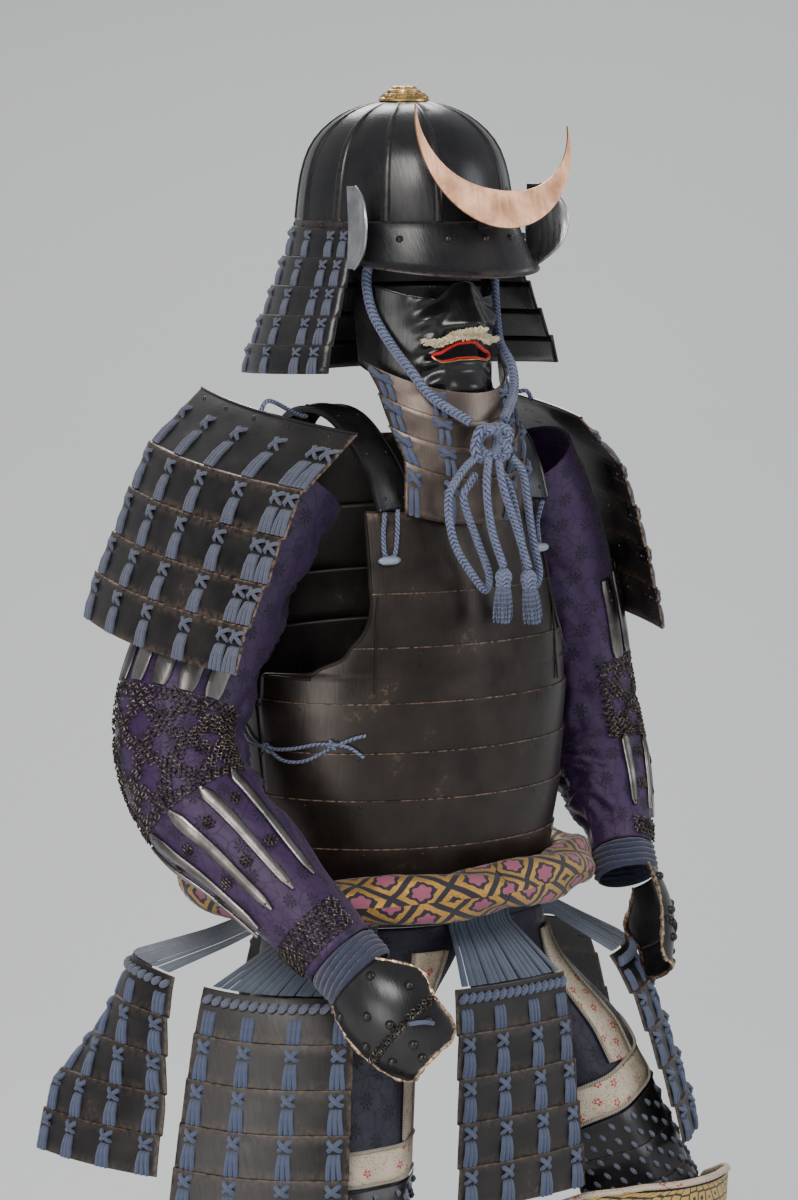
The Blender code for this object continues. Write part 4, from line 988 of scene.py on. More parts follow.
rims = bmesh.new()
for hand in (-1, 1):
    tube(drawn([torso_spot(hand * read(FRONT_WIDTH, z), z, 1.2) for z in FRONT_RIM], 40), 2.0, rims)
    tube(drawn([torso_spot(180 - hand * read(BACK_WIDTH, z), z, 1.2) for z in BACK_RIM], 40), 2.0, rims)
    tube([torso_spot(hand * a, -266.5, 1.2) for a in steps(64, 88, 8)], 1.8, rims)
    tube([torso_spot(180 - hand * a, -266.5, 1.2) for a in steps(70, 88, 8)], 1.8, rims)
    seam = [torso_spot(hand * 40, z, 1.9 if k % 2 else 2.3) for k, z in enumerate(steps(-178, -286, 16))]
    tube(seam, 1.3, rims, sides=6)
tube([torso_spot(a, -88.5, 1.0) for a in steps(-47.5, 47.5, 40)], 1.6, rims)
piece("cuirass_rims", rims, CUIRASS_LACQUER, "brown_lacquer")

rivets = bmesh.new()
for line in BACK_LINES[1:-1]:
    for angle in steps(24, 156, 6) + steps(-24, -156, 6):
        if not beyond_armhole(angle, line):
            rivet(rivets, torso_spot(angle, line - 7, 1.9), around(1, 1, angle), 1.6, 0.7)
piece("cuirass_rivets", rivets, CUIRASS_LACQUER, "brown_lacquer")

# Shoulder straps: padded black plates, with their cords
# A stiff strap hinged to the back plate comes over each shoulder; a blue cord from its end is
# caught on a horn toggle on the breast, and a second cord carries the shoulder shield.

STRAP_ROUTE = [(92.0, 81.6, -17.6), (96.0, 58.0, 6.0), (99.0, 20.0, 16.0), (100.0, -22.0, 10.0),
               (99.0, -58.0, -14.0), (96.0, -87.0, -48.0), (94.0, -103.2, -84.5)]
STRAP_SECTION = [(-1.0, 1.0), (-0.99, 4.6), (-0.95, 6.2), (-0.86, 6.9), (-0.5, 7.0), (0.0, 7.0), (0.5, 7.0),
                 (0.86, 6.9), (0.95, 6.2), (0.99, 4.6), (1.0, 1.0), (0.94, 0.1), (0.5, 0.0), (-0.5, 0.0),
                 (-0.94, 0.1), (-1.0, 1.0)]
STRAP_HALF, THIN_CORD = 24.0, 2.5
CHEST_CORD = [(34, -84.6, 8.0), (34, -93, 7.0), (34, -112, 4.6), (35, -134, 4.0), (38.5, -134, 4.2),
              (39.5, -112, 6.0), (39.3, -96, 13.0), (39.2, -87.2, 17.4)]


def strap_spot(hand, across, share, out):
    middle = smooth_at(STRAP_ROUTE, share)
    ahead = smooth_at(STRAP_ROUTE, min(1.0, share + 0.02)) - smooth_at(STRAP_ROUTE, max(0.0, share - 0.02))
    rise = ahead.cross(Vector((1, 0, 0))).normalized()
    spot = middle + Vector((across * STRAP_HALF, 0, -3.0 * abs(across))) + rise * out
    return Vector((hand * spot.x, spot.y, spot.z))


def stud(into, spot, seat, half, tall):
    """A rivet that stands out of a surface given as spot(out)."""
    rivet(into, spot(seat), spot(seat + 5.0) - spot(seat), half, tall)


def horn_look():
    made, tree, shader = look_of("horn", 0.32, Coat_Weight=0.2)
    grain = blotches(tree, seat_of(tree), 260.0, 4.0)
    dressed(tree, shader, tinted(tree, grain, (0.14, 0.17, 0.24), (0.34, 0.38, 0.46)))
    return made


for side, hand in HAND.items():
    made = formed(lambda row, share: strap_spot(hand, row[0], share, row[1]), STRAP_SECTION,
                  steps(0.0, 1.0, 32), closed=True, capped=True)
    piece("padded_strap_" + side, made, BLACK_LACQUER, "black_lacquer", "shoulder_strap_" + side)
    edging = bmesh.new()
    for across in (-0.93, 0.93):
        tube([strap_spot(hand, across, v, 6.6) for v in steps(0.01, 0.99, 40)], 1.3, edging, sides=6)
    for share in (0.08, 0.3, 0.52, 0.74, 0.95):
        for across in (-0.55, 0.55):
            stud(edging, lambda out: strap_spot(hand, across, share, out), 6.9, 2.2, 1.2)
    piece("strap_edging_" + side, edging, BLACK_LACQUER, "black_lacquer")

HORN = horn_look()
for side, hand in HAND.items():
    middle = torso_spot(hand * 36.8, -139.0, 5.4)
    bar = [middle + Vector((x, 0.12 * x * hand, 0)) for x in steps(-13, 13, 12)]
    halves = [1.8 + 3.0 * (1 - abs(x) ** 4) for x in steps(-1, 1, 12)]
    toggle = piece("horn_toggle_" + side, tube(bar, halves, sides=12), HORN, "polished_steel")
    route = [torso_spot(hand * a, h, out) for a, h, out in CHEST_CORD]
    laid_cord("blue_chest_cord_" + side, route, THIN_CORD, CORD_BRAID, "blue_lace", 44,
              "strap_cord_" + side)

# Sleeves: figured purple satin, cut wide and gathered to the wrist
# Each is two lengths of silk sewn up the inner side of the arm, deeply creased at the elbow;
# the splints and mail are sewn to its outer side.

ARM = {
    "l": [(165, 0, -52), (200, 4, -108), (242, 12, -205), (268, 14, -310), (280, 0, -385), (275, -34, -442),
          (262, -70, -500)],
    "r": [(-168, 0, -52), (-205, 4, -108), (-252, 10, -205), (-296, 10, -310), (-304, -28, -386),
          (-278, -92, -446), (-232, -188, -540)],
}
SLEEVE_HALF = [(0.0, 74.0), (0.15, 73.0), (0.45, 71.0), (0.6, 68.0), (0.75, 64.0), (0.9, 50.0), (1.0, 41.0)]
SLIM = {"l": 0.86, "r": 1.0}
CLOTH_WALL = 1.4


def arm_frame(side, share):
    """The middle of the arm, and its outward, sideways and lengthwise directions."""
    route = ARM[side]
    ahead = (smooth_at(route, min(1.0, share + 0.03)) - smooth_at(route, max(0.0, share - 0.03))).normalized()
    outward = Vector((HAND[side], -0.30, 0.25))
    outward = (outward - outward.dot(ahead) * ahead).normalized()
    return smooth_at(route, share), outward, outward.cross(ahead), ahead


def crease(x, y, z, count):
    """1 at the bottom of a crease and below 0 between creases."""
    return 1 - count * abs(noise.noise(Vector((x, y, z))))


def satin_folds(side, turn, share):
    """Sharp creases round the arm: deep on its inner side, shallow and drawn in on its outer side."""
    inner = max(0.0, -math.cos(turn)) ** 0.5
    x, y = math.cos(turn), math.sin(turn) + HAND[side] * 4
    drift = noise.noise(Vector((x * 1.2, y * 1.2, share * 4.0)))
    deep = crease(x * 1.5, y * 1.5, share * 15.0 + drift * 2.5, 2.3)
    fine = crease(x * 3.5, y * 3.5, share * 34.0 + drift * 6.0, 2.0)
    ends = min(1.0, 12 * share, 14 * (1 - share))
    return (1.2 + 9.5 * inner) * (0.72 * deep + 0.28 * fine - 0.78) * max(0.0, ends)


def sleeve_spot(side, angle, share, out=0.0, folds=True):
    middle, outward, sideways, _ = arm_frame(side, share)
    turn = math.radians(angle)
    inner = max(0.0, -math.cos(turn))
    fold = 5.0 * inner * math.sin(share * 46.0) * math.sin(math.pi * share) ** 0.5
    bag = 9.0 * inner * bump_at(share, 0.72, 0.16)
    reach = (read(SLEEVE_HALF, share) + fold + bag) * SLIM[side] + out
    if folds:
        reach += satin_folds(side, turn, share)
    return middle + (outward * math.cos(turn) + sideways * math.sin(turn)) * reach


def cut_of(place, across, down):
    """A cloth's cut laid flat: its widest and longest sides, and its area."""
    spots = [[Vector(place(u, v)) * MM for v in down] for u in across]
    pairs = list(zip(spots, spots[1:]))
    wide = max(sum((b[j] - a[j]).length for a, b in pairs) for j in range(len(down)))
    long = max(sum((b - a).length for a, b in zip(line, line[1:])) for line in spots)
    area = sum((b[j + 1] - a[j]).cross(b[j] - a[j + 1]).length / 2
               for a, b in pairs for j in range(len(down) - 1))
    return {"flat": (wide, long), "area": area}


def sewn(name, place, across, down, look, slot, *replaced, held, on, closed=False, **finish):
    """A cloth whose cut is worked out from the formula that places it."""
    thing = piece(name, formed(place, across, down, closed=closed), look, slot, *replaced, **finish)
    cut_of(place, across, down)


def cells_group():
    """A repeated square cell, turned on the cloth: how far from its middle, and petals round it."""
    group, given, out = group_of("woven_cells", [("UV", "NodeSocketVector", None),
                                                 ("Size", "NodeSocketFloat", 0.03),
                                                 ("Turn", "NodeSocketFloat", 0.785),
                                                 ("Petals", "NodeSocketFloat", 8.0)],
                                 ["Side", "Far", "Petal", "Chance"])
    turned = node(group, "ShaderNodeVectorRotate", {"Vector": given["UV"], "Angle": given["Turn"]},
                  rotation_type="Z_AXIS")
    parts = node(group, "ShaderNodeSeparateXYZ", {0: turned.outputs["Vector"]}).outputs
    local = []
    for key in ("X", "Y"):
        scaled = calc(group, "DIVIDE", parts[key], given["Size"])
        local.append((minus(group, calc(group, "FRACT", scaled), 0.5), calc(group, "FLOOR", scaled)))
    (x, column), (y, row) = local
    side = calc(group, "MAXIMUM", calc(group, "ABSOLUTE", x), calc(group, "ABSOLUTE", y))
    far = calc(group, "SQRT", plus(group, times(group, x, x), times(group, y, y)))
    petal = calc(group, "COSINE", times(group, calc(group, "ARCTAN2", y, x), given["Petals"]))
    cell = node(group, "ShaderNodeCombineXYZ", {"X": column, "Y": row}).outputs[0]
    chance = node(group, "ShaderNodeTexWhiteNoise", {"Vector": cell}, noise_dimensions="2D").outputs["Value"]
    for key, value in (("Side", side), ("Far", far), ("Petal", petal), ("Chance", chance)):
        group.links.new(value, out[key])
    return group


WOVEN_CELLS = cells_group()


def cloth_uv(tree, warp=0.0, scale=40.0):
    """The cloth's own map, drawn a little out of true."""
    uv = seat_of(tree, "UV")
    if not warp:
        return uv
    drift = node(tree, "ShaderNodeTexNoise", {"Vector": uv, "Scale": scale, "Detail": 1.0}).outputs["Color"]
    shift = node(tree, "ShaderNodeVectorMath", {0: drift, "Scale": warp}, operation="SCALE").outputs["Vector"]
    return node(tree, "ShaderNodeVectorMath", {0: uv, 1: shift}, operation="ADD").outputs["Vector"]


def weave_height(tree, uv, pitch=0.0011):
    """Threads over and under each other."""
    parts = node(tree, "ShaderNodeSeparateXYZ", {0: uv}).outputs
    lines = [calc(tree, "SINE", times(tree, parts[key], math.tau / pitch)) for key in ("X", "Y")]
    return times(tree, plus(tree, *lines), 0.25)


def petals_at(tree, cell, reach, depth):
    """How far the edge of a round flower lies from the middle of its cell."""
    return plus(tree, reach, times(tree, cell["Petal"], depth))


def satin_look(name, ground, figure, sheen):
    """Figured satin: round flowers and curling stems woven darker and duller than the ground."""
    made, tree, shader = look_of(name, 0.36, Sheen_Weight=sheen, Specular_IOR_Level=0.35)
    uv = cloth_uv(tree, 0.006)
    cell = use_group(tree, WOVEN_CELLS, UV=uv, Size=0.034, Turn=0.5, Petals=8.0)
    flower = between(tree, minus(tree, petals_at(tree, cell, 0.25, 0.05), cell["Far"]), 0.0, 0.02)
    rings = calc(tree, "SINE", times(tree, cell["Far"], 70.0))
    flower = times(tree, flower, between(tree, plus(tree, rings, cell["Petal"]), -0.9, 0.3))
    stems = node(tree, "ShaderNodeTexVoronoi", {"Vector": uv, "Scale": 55.0}, feature="DISTANCE_TO_EDGE")
    curls = minus(tree, 0.55, times(tree, between(tree, stems.outputs["Distance"], 0.02, 0.06), 0.55))
    figured = calc(tree, "MAXIMUM", flower, curls)
    dressed(tree, shader, tinted(tree, figured, ground, figure),
            plus(tree, weave_height(tree, uv), times(tree, figured, 0.5)), 0.35, 0.0005,
            rough=plus(tree, 0.34, times(tree, figured, 0.3)))
    return made


PURPLE_SATIN = satin_look("purple_satin", (0.036, 0.0125, 0.060), (0.009, 0.004, 0.017), 0.08)
for side in HAND:
    sewn("satin_sleeve_" + side, lambda u, v: sleeve_spot(side, u, v), steps(-180, 180, 96),
         steps(0.0, 1.0, 130), PURPLE_SATIN, "purple_brocade", "sleeve_" + side, held="gathered",
         on="padded_strap_" + side,
         closed=True, wall=CLOTH_WALL, angle=80)

# Splints and mail: polished steel strips and blackened iron rings
# Six short plates guard the upper arm and five long ones the forearm, drawn together at the
# wrist; the elbow has an open net of linked rings that leaves diamonds of satin bare.

DARK_MAIL = metal_look("blackened_mail", (0.17, 0.145, 0.12), (0.035, 0.03, 0.028), 0.42, 160.0)
SPLINT_STEEL = metal_look("splint_steel", (0.27, 0.255, 0.24), (0.10, 0.095, 0.09), 0.25, 24.0, 1.0)
STRIP_SECTION = [(-1.0, 0.2), (-0.97, 0.5), (-0.85, 0.74), (-0.5, 0.94), (0.0, 1.0), (0.5, 0.94),
                 (0.85, 0.74), (0.97, 0.5), (1.0, 0.2), (0.93, 0.0), (0.0, 0.0), (-0.93, 0.0), (-1.0, 0.2)]
MAIL_OUT, ROW_APART, RING_APART, DIAMOND, BAND_HALF, BORDER = 1.9, 5.6, 5.9, 52, 6.5, 9.5


def strip(into, spot, middle, half, first, last, low, high, cuts=14, taper=None):
    """A solid strip of rounded section laid along a surface given as spot(across, share, out)."""
    def place(section, share):
        wide = half * (taper((share - first) / (last - first)) if taper else 1.0)
        return spot(middle + section[0] * wide, share, low + (high - low) * section[1])

    formed(place, STRIP_SECTION, steps(first, last, cuts), into, closed=True, capped=True)


def mail_ring(into, spot, out, lean, radius=3.3, half=0.72):
    """One ring of wire, leaning over its neighbours."""
    turn = Vector(out).to_track_quat("Z", "Y").to_matrix() @ Matrix.Rotation(lean, 3, "X")

    def place(a, b):
        far = radius + half * math.cos(b)
        return spot + turn @ Vector((far * math.cos(a), far * math.sin(a), half * math.sin(b)))

    formed(place, steps(0, math.tau, 9), steps(0, -math.tau, 4), into, closed=True)


def arm_mail(into, side, first, last, widest, bare):
    """Rings over this length of the arm: bare leaves diamonds of cloth between bands of rings."""
    reach = read(SLEEVE_HALF, (first + last) / 2) * SLIM[side]
    long = cord_length([smooth_at(ARM[side], v) for v in steps(first, last, 10)]) / MM
    rows = max(2, round(long / ROW_APART))
    count = round(math.radians(2 * widest) * reach / RING_APART)
    for j in range(rows + 1):
        share = first + (last - first) * j / rows
        for i in range(count + 1):
            angle = -widest + 2 * widest * (i + 0.5 * (j % 2)) / (count + 0.5)
            x, y = math.radians(angle) * reach, long * j / rows
            slants = [(x + y - long / 2) / DIAMOND, (x - y + long / 2) / DIAMOND]
            net = min(abs(slant - round(slant)) for slant in slants) * 37
            border = min(y, long - y, abs(math.radians(widest) * reach - abs(x)))
            if not (bare and net > BAND_HALF and border > BORDER):
                spot = sleeve_spot(side, angle, share, MAIL_OUT, False)
                out = sleeve_spot(side, angle, share, 9, False) - spot
                mail_ring(into, spot, out, 0.42 if (i + j) % 2 else -0.42)


def mail_rosettes(into, side):
    for angle in (-54, -18, 18, 54):
        for share in (0.765, 0.85):
            middle, ahead = sleeve_spot(side, angle, share, MAIL_OUT, False), arm_frame(side, share)[3]
            out = (sleeve_spot(side, angle, share, 9, False) - middle).normalized()
            for k in range(7):
                turn = math.tau * k / 6
                shift = ahead * math.cos(turn) + ahead.cross(out) * math.sin(turn)
                mail_ring(into, middle + shift * (4.4 if k < 6 else 0.0), out, 0.4, 2.5, 0.7)


def upper_taper(along):
    return 1 - 0.25 * max(0.0, abs(2 * along - 1) - 0.85) / 0.15


def lower_taper(along):
    return min(1.0, 0.35 + 6 * along, 0.35 + 8 * (1 - along)) * (1.0 - 0.12 * along)


# Name, angles, half width, first and last share, outer face, cuts, taper, and where the rivets sit.
SPLINTS = [("upper", steps(-60, 60, 5), 8.6, 0.3117, 0.4575, 4.2, 10, upper_taper, (0.335, 0.352), 4.1),
           ("forearm", steps(-72, 72, 4), 6.6, 0.6963, 0.915, 4.4, 26, lower_taper, (0.705, 0.905), 4.0)]
for side in HAND:
    arm = lambda u, v, out: sleeve_spot(side, u, v, out, False)
    heads = bmesh.new()
    for name, angles, half, first, last, face, cuts, taper, seats, seat in SPLINTS:
        splints = bmesh.new()
        for angle in angles:
            strip(splints, arm, angle, half, first, last, 0.6, face, cuts, taper)
            for share in seats:
                stud(heads, lambda out: arm(angle, share, out), seat, 1.5, 0.8)
        piece("steel_%s_splints_%s" % (name, side), splints, SPLINT_STEEL, "polished_steel",
              "%s_splints_%s" % (name, side))
    piece("splint_rivets_" + side, heads, DARK_MAIL, "mail")
    mail, more = bmesh.new(), bmesh.new()
    arm_mail(mail, side, 0.466, 0.688, 90, True)
    piece("ring_mail_" + side, mail, DARK_MAIL, "mail", "elbow_mail_" + side)
    mail_rosettes(more, side)
    arm_mail(more, side, 0.95, 0.985, 72, False)
    piece("small_mail_" + side, more, DARK_MAIL, "mail")

# Wrist wraps: a long tie of navy cotton wound round the sleeve's end
# Five turns lie over each other and cross at the outer side.

WRAP_LONG, WRAP_HALF = 34.0, 36.5


def wrap_spot(side, angle, share):
    middle, outward, sideways, ahead = arm_frame(side, 1.0)
    turn = math.radians(angle)
    waver = noise.noise(Vector((math.cos(turn) * 2, math.sin(turn) * 2, HAND[side] * 3)))
    wound = share * 5 + 0.9 * math.sin(turn) + 0.25 * waver
    fold = abs(math.sin(math.pi * wound)) ** 0.6
    ends = min(1.0, 9 * share, 9 * (1 - share))
    reach = WRAP_HALF * SLIM[side] + 1.6 + (0.6 + 4.0 * fold) * ends
    along = ahead * (0.3 + WRAP_LONG * share)
    return middle + along + (outward * math.cos(turn) + sideways * math.sin(turn)) * reach


def navy_look():
    made, tree, shader = look_of("navy_cotton", 0.8, Sheen_Weight=0.3)
    uv = cloth_uv(tree)
    faded = tinted(tree, blotches(tree, uv, 70.0, 5.0), (0.010, 0.013, 0.035), (0.040, 0.047, 0.095))
    dressed(tree, shader, faded, weave_height(tree, uv, 0.0014), 0.5, 0.0006)
    return made


NAVY_CLOTH = navy_look()
for side in HAND:
    sewn("cotton_wrap_" + side, lambda u, v: wrap_spot(side, u, v), steps(-180, 180, 72), steps(0.0, 1.0, 50),
         NAVY_CLOTH, "navy_cloth", "wrist_wrap_" + side, held="folded", on="satin_sleeve_" + side,
         closed=True, wall=CLOTH_WALL, angle=80)

# Hand guards: one domed plate of black lacquered iron each
# Its rim is bound in gilt leather; domed studs hold the lining, a strip of mail joins the
# finger part, and a blue loop takes the middle finger.

HAND_ROWS = [(0.0, 44.0), (0.12, 54.0), (0.3, 60.0), (0.5, 62.0), (0.7, 61.0), (0.86, 56.0), (0.95, 48.0),
             (1.0, 34.0)]
HAND_SHARES = [0.0, 0.03, *steps(0.06, 0.58, 9), 0.6, 0.61, 0.62, 0.63, 0.64, *steps(0.68, 0.94, 6), 0.97,
               1.0]
HAND_STUDS = [(-0.72, 0.14), (0.5, 0.1), (-0.1, 0.34), (0.72, 0.4), (-0.62, 0.5), (0.1, 0.54), (-0.5, 0.76),
              (0.1, 0.8), (0.62, 0.74), (0.0, 0.93)]
HAND_LONG, HAND_DOME, HALF_ARCH = 116.0, 40.0, 52.0
HAND_DROP = {"l": 4.0, "r": 16.0}


def hand_spot(side, across, share, out=0.0):
    middle, outward, sideways, ahead = arm_frame(side, 1.0)
    lobe = 16.0 * max(0.0, across) * bump_at(share, 0.35, 0.2)
    arch = math.radians(across * (HALF_ARCH + lobe))
    radius = read(HAND_ROWS, share) / math.sin(math.radians(HALF_ARCH)) * 0.82
    dome = HAND_DOME * SLIM[side] + 9.0 * math.sin(math.pi * min(1.0, share * 1.1))
    ridge = 1.2 * bump_at(share, 0.62, 0.012)
    rise = dome - radius - HAND_DROP[side] * share**2
    base = middle + ahead * (WRAP_LONG + 0.9 + HAND_LONG * share) + outward * rise
    return base + (outward * math.cos(arch) + sideways * math.sin(arch)) * (radius + out - ridge)


GILT_EDGE = metal_look("gilt_leather_edge", (0.78, 0.62, 0.44), (0.20, 0.11, 0.06), 0.36, 330.0)
for side in HAND:
    hand_at = lambda u, v, out=0.0: hand_spot(side, u, v, out)
    piece("hand_plate_" + side, formed(hand_at, steps(-1.0, 1.0, 32), HAND_SHARES), BLACK_LACQUER,
          "black_lacquer", "hand_guard_" + side, wall=2.0)
    rim = [hand_at(1.0, v, -1.0) for v in steps(0.0, 0.985, 60)]
    rim += [hand_at(u, 0.992, -1.0) for u in steps(0.98, -0.98, 24)]
    rim += [hand_at(-1.0, v, -1.0) for v in steps(0.985, 0.0, 60)]
    lumps = [2.3 + 1.5 * noise.noise(point * 0.16) for point in rim]
    piece("gilt_binding_" + side, tube(rim, lumps), GILT_EDGE, "gilt")
    studs, chain = bmesh.new(), bmesh.new()
    for across, share in HAND_STUDS:
        stud(studs, lambda out: hand_at(across, share, out), 0.2, 5.4, 4.6)
    for shift, share, lean in ((0.0, 0.6, -0.4), (0.05, 0.635, 0.4)):
        for across in steps(-0.9, 0.9, 15):
            at = hand_at(across + shift, share, 1.6)
            mail_ring(chain, at, hand_at(across + shift, share, 8) - at, lean, 2.9, 0.7)
    piece("hand_studs_" + side, studs, BLACK_LACQUER, "black_lacquer")
    piece("hand_mail_" + side, chain, DARK_MAIL, "mail")
    loop = [hand_at(0.35 + 0.3 * t, 0.66 + 0.13 * t, 1.4 + 6.0 * math.sin(math.pi * t))
            for t in steps(0.0, 1.0, 16)]
    piece("finger_loop_" + side, tube(loop, 2.4), LACE_BLUE, "blue_lace")

# Shoulder shields: a top plate and four lacquered lames laced with grey-blue silk
# The top plate is rimmed and riveted; each lame below hangs outside the one above from crossed
# knots and triple cords, set close along the front edge.

SODE_SHAPE = {
    "r": [(0.0, 199.0, 19.0), (0.26, 268.0, -36.0), (0.45, 295.0, -84.0), (0.63, 317.0, -132.0),
          (0.80, 340.0, -174.0), (1.0, 359.0, -223.0)],
    "l": [(0.0, 196.0, 17.0), (0.26, 254.0, -36.0), (0.45, 276.0, -84.0), (0.63, 294.0, -132.0),
          (0.80, 308.0, -180.0), (1.0, 322.0, -229.0)],
}
SODE_BACK, SODE_IN, CORD_SEAT = {"r": 0.0, "l": 42.0}, {"r": 3.2, "l": 0.0}, {"l": -0.2, "r": 0.0}
SODE_HALF = 141.0
SODE_ROWS = [(0.26, LACED_STEP), (0.45, 0.0), (0.45, LACED_STEP), (0.63, 0.0), (0.63, LACED_STEP),
             (0.80, 0.0), (0.80, LACED_STEP), (1.0, 0.0)]
SODE_TOP = [(0.0, 1.2), (0.004, 2.0), (0.06, 1.6), (0.13, 1.0), (0.2, 0.5), (0.255, 0.1), (0.26, 0.0)]


def sode_spot(side, across, row, out=0.0):
    share, step = row
    shape = SODE_SHAPE[side]
    reach = read(shape, share, 1) + step - 24.0 * across**2 - SODE_IN[side]
    height = read(shape, share, 2) + 0.12 * across * SODE_HALF
    x, y = HAND[side] * (reach + 0.88 * out), across * SODE_HALF + SODE_BACK[side]
    return Vector((x, y, height + 0.47 * out))


SODE_LACQUER = lacquer_look("shield_lacquer", (0.010, 0.009, 0.010), (0.034, 0.029, 0.026),
                            (0.36, 0.23, 0.16), 0.75, 0.22, 0.38, 0.4)
fine, worn = fine_lames(SODE_ROWS, 5)
worn = [0.8] + [0.0] * 6 + worn
for side, hand in HAND.items():
    spot = lambda u, v, out=0.0: sode_spot(side, u, v, out)
    made = formed(spot, steps(-hand, hand, 60), SODE_TOP + fine,
                  edge=lambda i, j: 0.8 if i in (0, 60) else worn[j])
    piece("shield_lames_" + side, made, SODE_LACQUER, "black_lacquer", "sode_" + side, wall=2.0, soften=0.5)
    trim, laces = bmesh.new(), bmesh.new()
    tube([spot(u, (0.0, 1.0)) for u in steps(-0.995, 0.995, 60)], 2.2, trim)
    for across in (-0.8, -0.4, 0.0, 0.4, 0.8):
        out = spot(across, (0.03, 0), 5) - spot(across, (0.03, 0))
        rivet(trim, spot(across, (0.03, 1.8)), out, 2.6, 1.5)
    piece("shield_trim_" + side, trim, BLACK_LACQUER, "black_lacquer")
    for across in (-0.94, -0.82, -0.45, 0.0, 0.45, 0.9):
        for rows in (SODE_ROWS, [(0.055, 1.58), (0.26, 0.0)]):
            lace_marks(laces, spot, rows, across, 6.0, 0.0071, 2.8)
    piece("shield_laces_" + side, laces, LACE_GREY, "blue_lace")
    start = strap_spot(hand, 1.0, 0.36, 0.0) + Vector((hand * 0.6, 0, -3.6))
    along, normal = Vector((hand * 0.78, 0, -0.62)), Vector((hand * 0.62, 0, 0.78))
    end = spot(CORD_SEAT[side], (0.0, 2.0)) - normal - along * 1.2
    route = [start, start + Vector((hand * 14, 0, 3)), end - along * 16 + Vector((0, 0, 1)), end]
    laid_cord("blue_shield_cord_" + side, route, THIN_CORD, CORD_BRAID, "blue_lace", 24,
              "sode_cord_" + side)

# Sash: gold brocade with pink flowers, twisted and tied round the waist
# A broad cloth rolled on itself three turns and tucked in at the back.

SASH_MIDDLE, SASH_HALF = Vector((-12.7, 11.7, -501.0)), 26.0


def sash_spot(angle, section):
    turn, twist = math.radians(section), 3 * section + angle * 9
    x = math.cos(math.radians(angle)) * 6.5 + 1.5 * math.cos(turn)
    y = math.sin(math.radians(angle)) * 6.5 + 1.5 * math.sin(turn)
    crumple = noise.noise(Vector((x, y, twist / 200)))
    lobe = 1 + 0.09 * math.cos(math.radians(twist))
    lobe += 0.10 * (0.35 - abs(crumple)) - 0.05 * abs(math.sin(math.radians(twist) / 2)) ** 8
    reach = SASH_HALF * lobe
    rise = 4.0 * math.sin(math.radians(angle * 2 + 40)) + reach * math.sin(turn)
    return SASH_MIDDLE + around(219.0, 184.0, angle, reach * math.cos(turn)) + Vector((0, 0, rise))


def brocade_look():
    """A black lattice, a scalloped gold frame in each cell and a pink flower in each frame."""
    made, tree, shader = look_of("gold_lattice_brocade", 0.5, Sheen_Weight=0.2)
    uv = cloth_uv(tree, 0.004, 30.0)
    cell = use_group(tree, WOVEN_CELLS, UV=uv, Size=0.038, Turn=0.62, Petals=6.0)
    rays = between(tree, calc(tree, "SINE", times(tree, cell["Far"], 150.0)), -0.6, 0.4)
    pink = tinted(tree, rays, (0.24, 0.06, 0.10), (0.36, 0.085, 0.15))
    flower = between(tree, minus(tree, petals_at(tree, cell, 0.235, 0.03), cell["Far"]), 0.0, 0.015)
    inside = between(tree, minus(tree, 0.43, cell["Side"]), 0.0, 0.012)
    band = times(tree, between(tree, cell["Side"], 0.27, 0.29), inside)
    scallops = minus(tree, cell["Far"], petals_at(tree, cell, 0.30, 0.03))
    ring = times(tree, between(tree, scallops, 0.0, 0.015), band)
    glitter = between(tree, blotches(tree, uv, 900.0, 2.0), 0.35, 0.65)
    gold = tinted(tree, glitter, (0.34, 0.19, 0.04), (0.60, 0.33, 0.07))
    feed(tree, shader.inputs["Metallic"], times(tree, ring, 0.55))
    weave = times(tree, weave_height(tree, uv, 0.0013), 0.6)
    colour = tinted(tree, flower, (0.010, 0.006, 0.016), pink)
    dressed(tree, shader, tinted(tree, ring, colour, gold),
            plus(tree, weave, calc(tree, "MAXIMUM", ring, flower)), 0.5, 0.0008,
            rough=minus(tree, 0.62, times(tree, ring, 0.24)))
    return made


GOLD_BROCADE = brocade_look()
rolled = formed(sash_spot, steps(0, 360, 220), steps(360, 0, 40), closed=True)
bmesh.ops.recalc_face_normals(rolled, faces=rolled.faces[:])
sash = piece("brocade_sash", rolled, GOLD_BROCADE, "gold_brocade", "sash", angle=85)

# Skirt lacing: flat blue braids from the cuirass to each tasset
# Six groups of close-set braids let the tassets swing; between the groups the thigh guard's
# belt shows.

SKIRT = [(0.0, 173.0, 132.0, -503.6), (0.35, 176.0, 134.0, -543.0), (0.6, 224.0, 160.0, -568.0),
         (1.0, 285.0, 188.0, -598.0)]
SKIRT_BRAIDS, BRAIDED = 16, 0.9


def skirt_spot(angle, share, out=0.0):
    swing = bump_at(angle, 250.0, 26.0) * max(0.0, (share - 0.35) / 0.65)
    flat = around(read(SKIRT, share, 1), read(SKIRT, share, 2), angle, out + 46.0 * swing)
    return flat + Vector((0, 0, read(SKIRT, share, 3) + 26.0 * swing))


def flat_braid_look():
    """Flat braid: fine ribs along its length, with shade painted darker in the troughs between them."""
    made, tree, shader = look_of("flat_blue_braid", 0.7, Sheen_Weight=0.3)
    parts = node(tree, "ShaderNodeSeparateXYZ", {0: cloth_uv(tree)}).outputs
    ribs = calc(tree, "SINE", times(tree, parts["X"], math.tau / 0.0013))
    cloudy = between(tree, blotches(tree, seat_of(tree), 45.0, 3.0), 0.5, 0.8)
    # Painted shade: the colour is darker in the troughs between the ribs.
    colour = tinted(tree, between(tree, ribs, -1.0, 0.6), (0.022, 0.034, 0.062), (0.075, 0.105, 0.165))
    dressed(tree, shader, tinted(tree, cloudy, colour, (0.085, 0.11, 0.155)), ribs, 0.6, 0.0005)
    return made


FLAT_BRAID = flat_braid_look()
